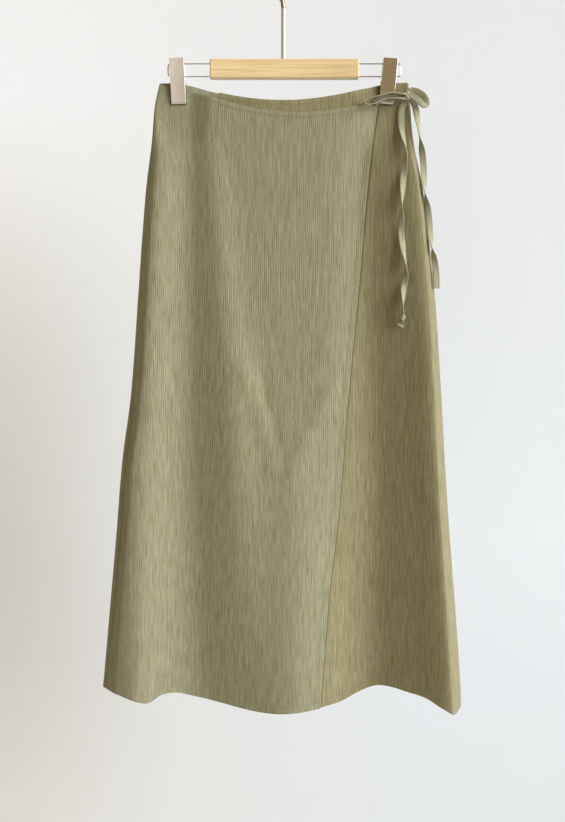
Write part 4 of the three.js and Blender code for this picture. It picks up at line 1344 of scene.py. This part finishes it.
def jaw_plate(side):
    """One pressed plate of a clip, modelled by extruding its top edge down its side view."""
    deselect()
    bpy.ops.mesh.primitive_plane_add(size=1)
    plate = bpy.context.object
    top_outer, top_inner = JAW_OUTER[0][0], JAW_INNER[0][0]
    plate.scale = (CLIP_WIDTH * MM, (top_outer - top_inner) * MM, 1)
    plate.location = (0, side * (top_outer + top_inner) / 2 * MM, 0)
    bpy.ops.object.transform_apply(location=True, rotation=True, scale=True)
    bpy.ops.object.mode_set(mode="EDIT")
    bpy.ops.mesh.select_mode(type="FACE")
    bpy.ops.mesh.select_all(action="SELECT")
    for before, after in zip(JAW_ROWS, JAW_ROWS[1:]):
        bpy.ops.mesh.extrude_region_move(TRANSFORM_OT_translate={
            "value": (0, 0, -(after - before) * MM)})
    bpy.ops.object.mode_set(mode="OBJECT")
    middle = side * (top_outer + top_inner) / 2 * MM
    for vertex in plate.data.vertices:
        rows = JAW_OUTER if (vertex.co.y - middle) * side > 0 else JAW_INNER
        vertex.co.y = side * side_view(rows, -vertex.co.z / MM) * MM
    bpy.ops.object.mode_set(mode="EDIT")
    bpy.ops.mesh.select_all(action="SELECT")
    bpy.ops.mesh.normals_make_consistent(inside=False)
    bpy.ops.object.mode_set(mode="OBJECT")
    round_edges(plate, 0.0004, 3, 40)
    return plate


def jaw_ears(side, inset):
    """The two side flanges that the rails pass through."""
    ears = []
    top, foot = EAR_DROPS
    top_away, foot_away = EAR_AWAY
    for end in (-1, 1):
        at = end * (CLIP_WIDTH / 2 - inset - EAR_THICKNESS / 2)
        ear = placed_box((EAR_THICKNESS, top_away + EAR_PAST, foot - top),
                         (at, side * (top_away - EAR_PAST) / 2, -(top + foot) / 2))
        for vertex in ear.data.vertices:
            if vertex.co.y * side > 0:
                low = vertex.co.z < -(top + foot) / 2 * MM
                vertex.co.y = side * (foot_away if low else top_away) * MM
        round_edges(ear, 0.00025, 2)
        holes = [((at - 3, 0, CLIP_DROP - drop), (at + 3, 0, CLIP_DROP - drop), EAR_HOLE)
                 for drop in RAIL_DROPS]
        cut_holes(ear, holes)
        ears.append(ear)
    return ears


def coil_spring():
    """A closed coil round the lower rail."""
    deselect()
    bpy.ops.mesh.primitive_circle_add(vertices=10, radius=COIL_WIRE * MM, fill_type="NGON")
    coil = bpy.context.object
    coil.rotation_euler = (math.pi / 2, 0, 0)
    coil.location = (COIL_RADIUS * MM, 0, 0)
    bpy.ops.object.transform_apply(location=True, rotation=True, scale=True)
    screw = coil.modifiers.new("coil", "SCREW")
    screw.axis = "Z"
    screw.angle = 2 * math.pi * COIL_TURNS
    screw.screw_offset = COIL_LENGTH * MM
    screw.steps = screw.render_steps = 26 * COIL_TURNS
    screw.use_merge_vertices = False
    apply_modifiers(coil)
    coil.matrix_world = Matrix.Rotation(math.pi / 2, 4, "Y") @ Matrix.Translation(
        (0, 0, -COIL_LENGTH / 2 * MM))
    return coil


class SKIRT_OT_clips(bpy.types.Operator):
    """Make the two spring clips that hold the waist"""
    bl_idname = "skirt.clips"
    bl_label = "Clips"

    def execute(self, context):
        hanger = context.scene.skirt_hanger
        plate = metal_material("champagne_clip", tuple(hanger.clip), 0.16, (900, 60, 60))
        dark = metal_material("spring_wire", tuple(hanger.spring), 0.32)
        for name, (x, lean) in CLIPS.items():
            place = Matrix.Translation((x * MM, 0, -CLIP_DROP * MM)) @ Matrix.Rotation(
                math.radians(lean), 4, "Y")
            for side, word, inset in ((-1, "front", 0), (1, "back", 1.4)):
                jaw = joined([jaw_plate(side), *jaw_ears(side, inset)])
                jaw.matrix_world = place @ jaw.matrix_world
                tidy_new(jaw, f"{name}_{word}_plate", plate, 35)
                even_shading(jaw)
                finish_piece(jaw, "clip_metal", f"{name}_{word}_jaw")
            coil = coil_spring()
            coil.matrix_world = place @ Matrix.Translation(
                (0, 0, (CLIP_DROP - RAIL_DROPS[1]) * MM)) @ coil.matrix_world
            tidy_new(coil, f"{name}_coil", dark, 50)
            finish_piece(coil, "hook_metal", f"{name}_spring")
        return {"FINISHED"}


def add_lamp(name, kind, power, color, direction, **settings):
    light = bpy.data.lights.new(name, kind)
    light.energy = power
    light.color = color
    for key, value in settings.items():
        setattr(light, key, value)
    lamp = bpy.data.objects.new(name, light)
    lamp.rotation_euler = Vector(direction).to_track_quat("-Z", "Y").to_euler()
    bpy.context.scene.collection.objects.link(lamp)
    return lamp


def backdrop_material(color):
    """A wall with painted light and shade, warmer and brighter high at the left and darker near the
    floor. Seen from behind it is clear, so that it hides nothing."""
    material, tree, shader = node_material("backdrop")
    split = add_node(tree, "ShaderNodeSeparateXYZ")
    tree.links.new(object_place(tree), split.inputs["Vector"])
    sideways = mapped_range(tree, split.outputs["X"], in_From_Min=-0.5, in_From_Max=0.25)
    upwards = mapped_range(tree, split.outputs["Z"], in_From_Min=-1.4, in_From_Max=0.2)
    left_wall = color_ramp(
        tree, upwards, (0.1, scaled(color, (0.92, 0.87, 0.81))),
        (0.67, scaled(color, (1.02, 0.98, 0.94))), (0.87, scaled(color, (1.1, 1.07, 1.07))))
    right_wall = color_ramp(tree, upwards, (0.04, scaled(color, 0.9)), (0.35, color))
    tone = mixed(tree, sideways, left_wall, right_wall)
    set_shader(tree, shader, tone, Roughness=0.95, Specular_IOR_Level=0.1)
    one_sided = add_node(tree, "ShaderNodeMixShader")
    for socket, source in zip(one_sided.inputs, (
        add_node(tree, "ShaderNodeNewGeometry").outputs["Backfacing"],
        shader.outputs["BSDF"],
        add_node(tree, "ShaderNodeBsdfTransparent").outputs["BSDF"],
    )):
        tree.links.new(source, socket)
    output = tree.nodes["Material Output"]
    tree.links.new(one_sided.outputs["Shader"], output.inputs["Surface"])
    return material


class SKIRT_OT_stage(bpy.types.Operator):
    """Make the pale backdrop, the soft lights and the camera"""
    bl_idname = "skirt.stage"
    bl_label = "Backdrop, lights and camera"

    def execute(self, context):
        stage = context.scene.skirt_stage
        profile = [(FRONT_Y, FLOOR_Z), (WALL_Y - SWEEP, FLOOR_Z)]
        for angle in range(15, 91, 15):
            turn = math.radians(angle)
            profile.append((WALL_Y - SWEEP + SWEEP * math.sin(turn),
                            FLOOR_Z + SWEEP - SWEEP * math.cos(turn)))
        profile.append((WALL_Y, TOP_Z))
        mesh = bpy.data.meshes.new("backdrop")
        points = [(x, y, z) for y, z in profile for x in (-HALF_WIDTH, HALF_WIDTH)]
        faces = [(2 * i, 2 * i + 1, 2 * i + 3, 2 * i + 2) for i in range(len(profile) - 1)]
        mesh.from_pydata(points, [], faces)
        mesh.shade_smooth()
        mesh.materials.append(backdrop_material(tuple(stage.backdrop)))
        backdrop = bpy.data.objects.new("backdrop", mesh)
        context.scene.collection.objects.link(backdrop)
        add_lamp("window", "SUN", stage.key, (0.95, 0.98, 1), (-0.857, 0.442, -0.265),
                 angle=math.radians(56))
        fill = add_lamp("fill", "AREA", stage.fill, (1, 0.98, 0.93), (0.72, 3.1, -0.15),
                        shape="RECTANGLE", size=0.9, size_y=2.2)
        fill.location = (-0.82, -3.1, -0.25)
        world = bpy.data.worlds.new("studio")
        world.use_nodes = True
        background = world.node_tree.nodes["Background"]
        background.inputs["Color"].default_value = (1, 0.79, 0.37, 1)
        background.inputs["Strength"].default_value = 0.31
        context.scene.world = world
        lens = bpy.data.cameras.new("camera")
        lens.sensor_width = SENSOR
        lens.lens = SENSOR * stage.distance / SEEN_HEIGHT
        camera = bpy.data.objects.new("camera", lens)
        camera.location = Vector(CENTRE) + Vector((0, -stage.distance, 0))
        camera.rotation_euler = (math.pi / 2, 0, 0)
        context.scene.collection.objects.link(camera)
        context.scene.camera = camera
        context.scene.view_settings.view_transform = "Standard"
        context.scene.view_settings.look = "None"
        return {"FINISHED"}


class SKIRT_PT_panel(bpy.types.Panel):
    """Lists what makes the skirt, its hanger and the studio"""
    bl_idname = "SKIRT_PT_panel"
    bl_label = "Wrap skirt"
    bl_space_type = "VIEW_3D"
    bl_region_type = "UI"
    bl_category = "Skirt"

    def draw(self, context):
        scene = context.scene
        groups = (
            (scene.skirt_stage, (SKIRT_OT_stage,)),
            (scene.skirt_cloth, (SKIRT_OT_panels,)),
            (scene.skirt_ties, (SKIRT_OT_ties,)),
            (scene.skirt_hanger, (SKIRT_OT_bar, SKIRT_OT_hook, SKIRT_OT_rails, SKIRT_OT_clips)),
        )
        for settings, operators in groups:
            box = self.layout.box()
            for name in settings.bl_rna.properties.keys():
                if name not in ("rna_type", "name"):
                    box.prop(settings, name)
            for operator in operators:
                box.operator(operator.bl_idname)


SETTINGS = {
    "skirt_cloth": ClothSettings,
    "skirt_ties": TieSettings,
    "skirt_hanger": HangerSettings,
    "skirt_stage": StageSettings,
}
CLASSES = (
    *SETTINGS.values(), SKIRT_OT_stage, SKIRT_OT_panels, SKIRT_OT_ties, SKIRT_OT_bar,
    SKIRT_OT_hook, SKIRT_OT_rails, SKIRT_OT_clips, SKIRT_PT_panel,
)


def register():
    for item in CLASSES:
        bpy.utils.register_class(item)
    for name, group in SETTINGS.items():
        setattr(bpy.types.Scene, name, bpy.props.PointerProperty(type=group))


def unregister():
    for name in SETTINGS:
        delattr(bpy.types.Scene, name)
    for item in reversed(CLASSES):
        bpy.utils.unregister_class(item)


def main():
    register()
    deselect()
    bpy.ops.skirt.stage()
    bpy.ops.skirt.ties()
    bpy.ops.skirt.panels()
    bpy.ops.skirt.bar()
    bpy.ops.skirt.hook()
    bpy.ops.skirt.rails()
    bpy.ops.skirt.clips()
    bpy.context.view_layer.update()


if __name__ == "__main__":
    main()
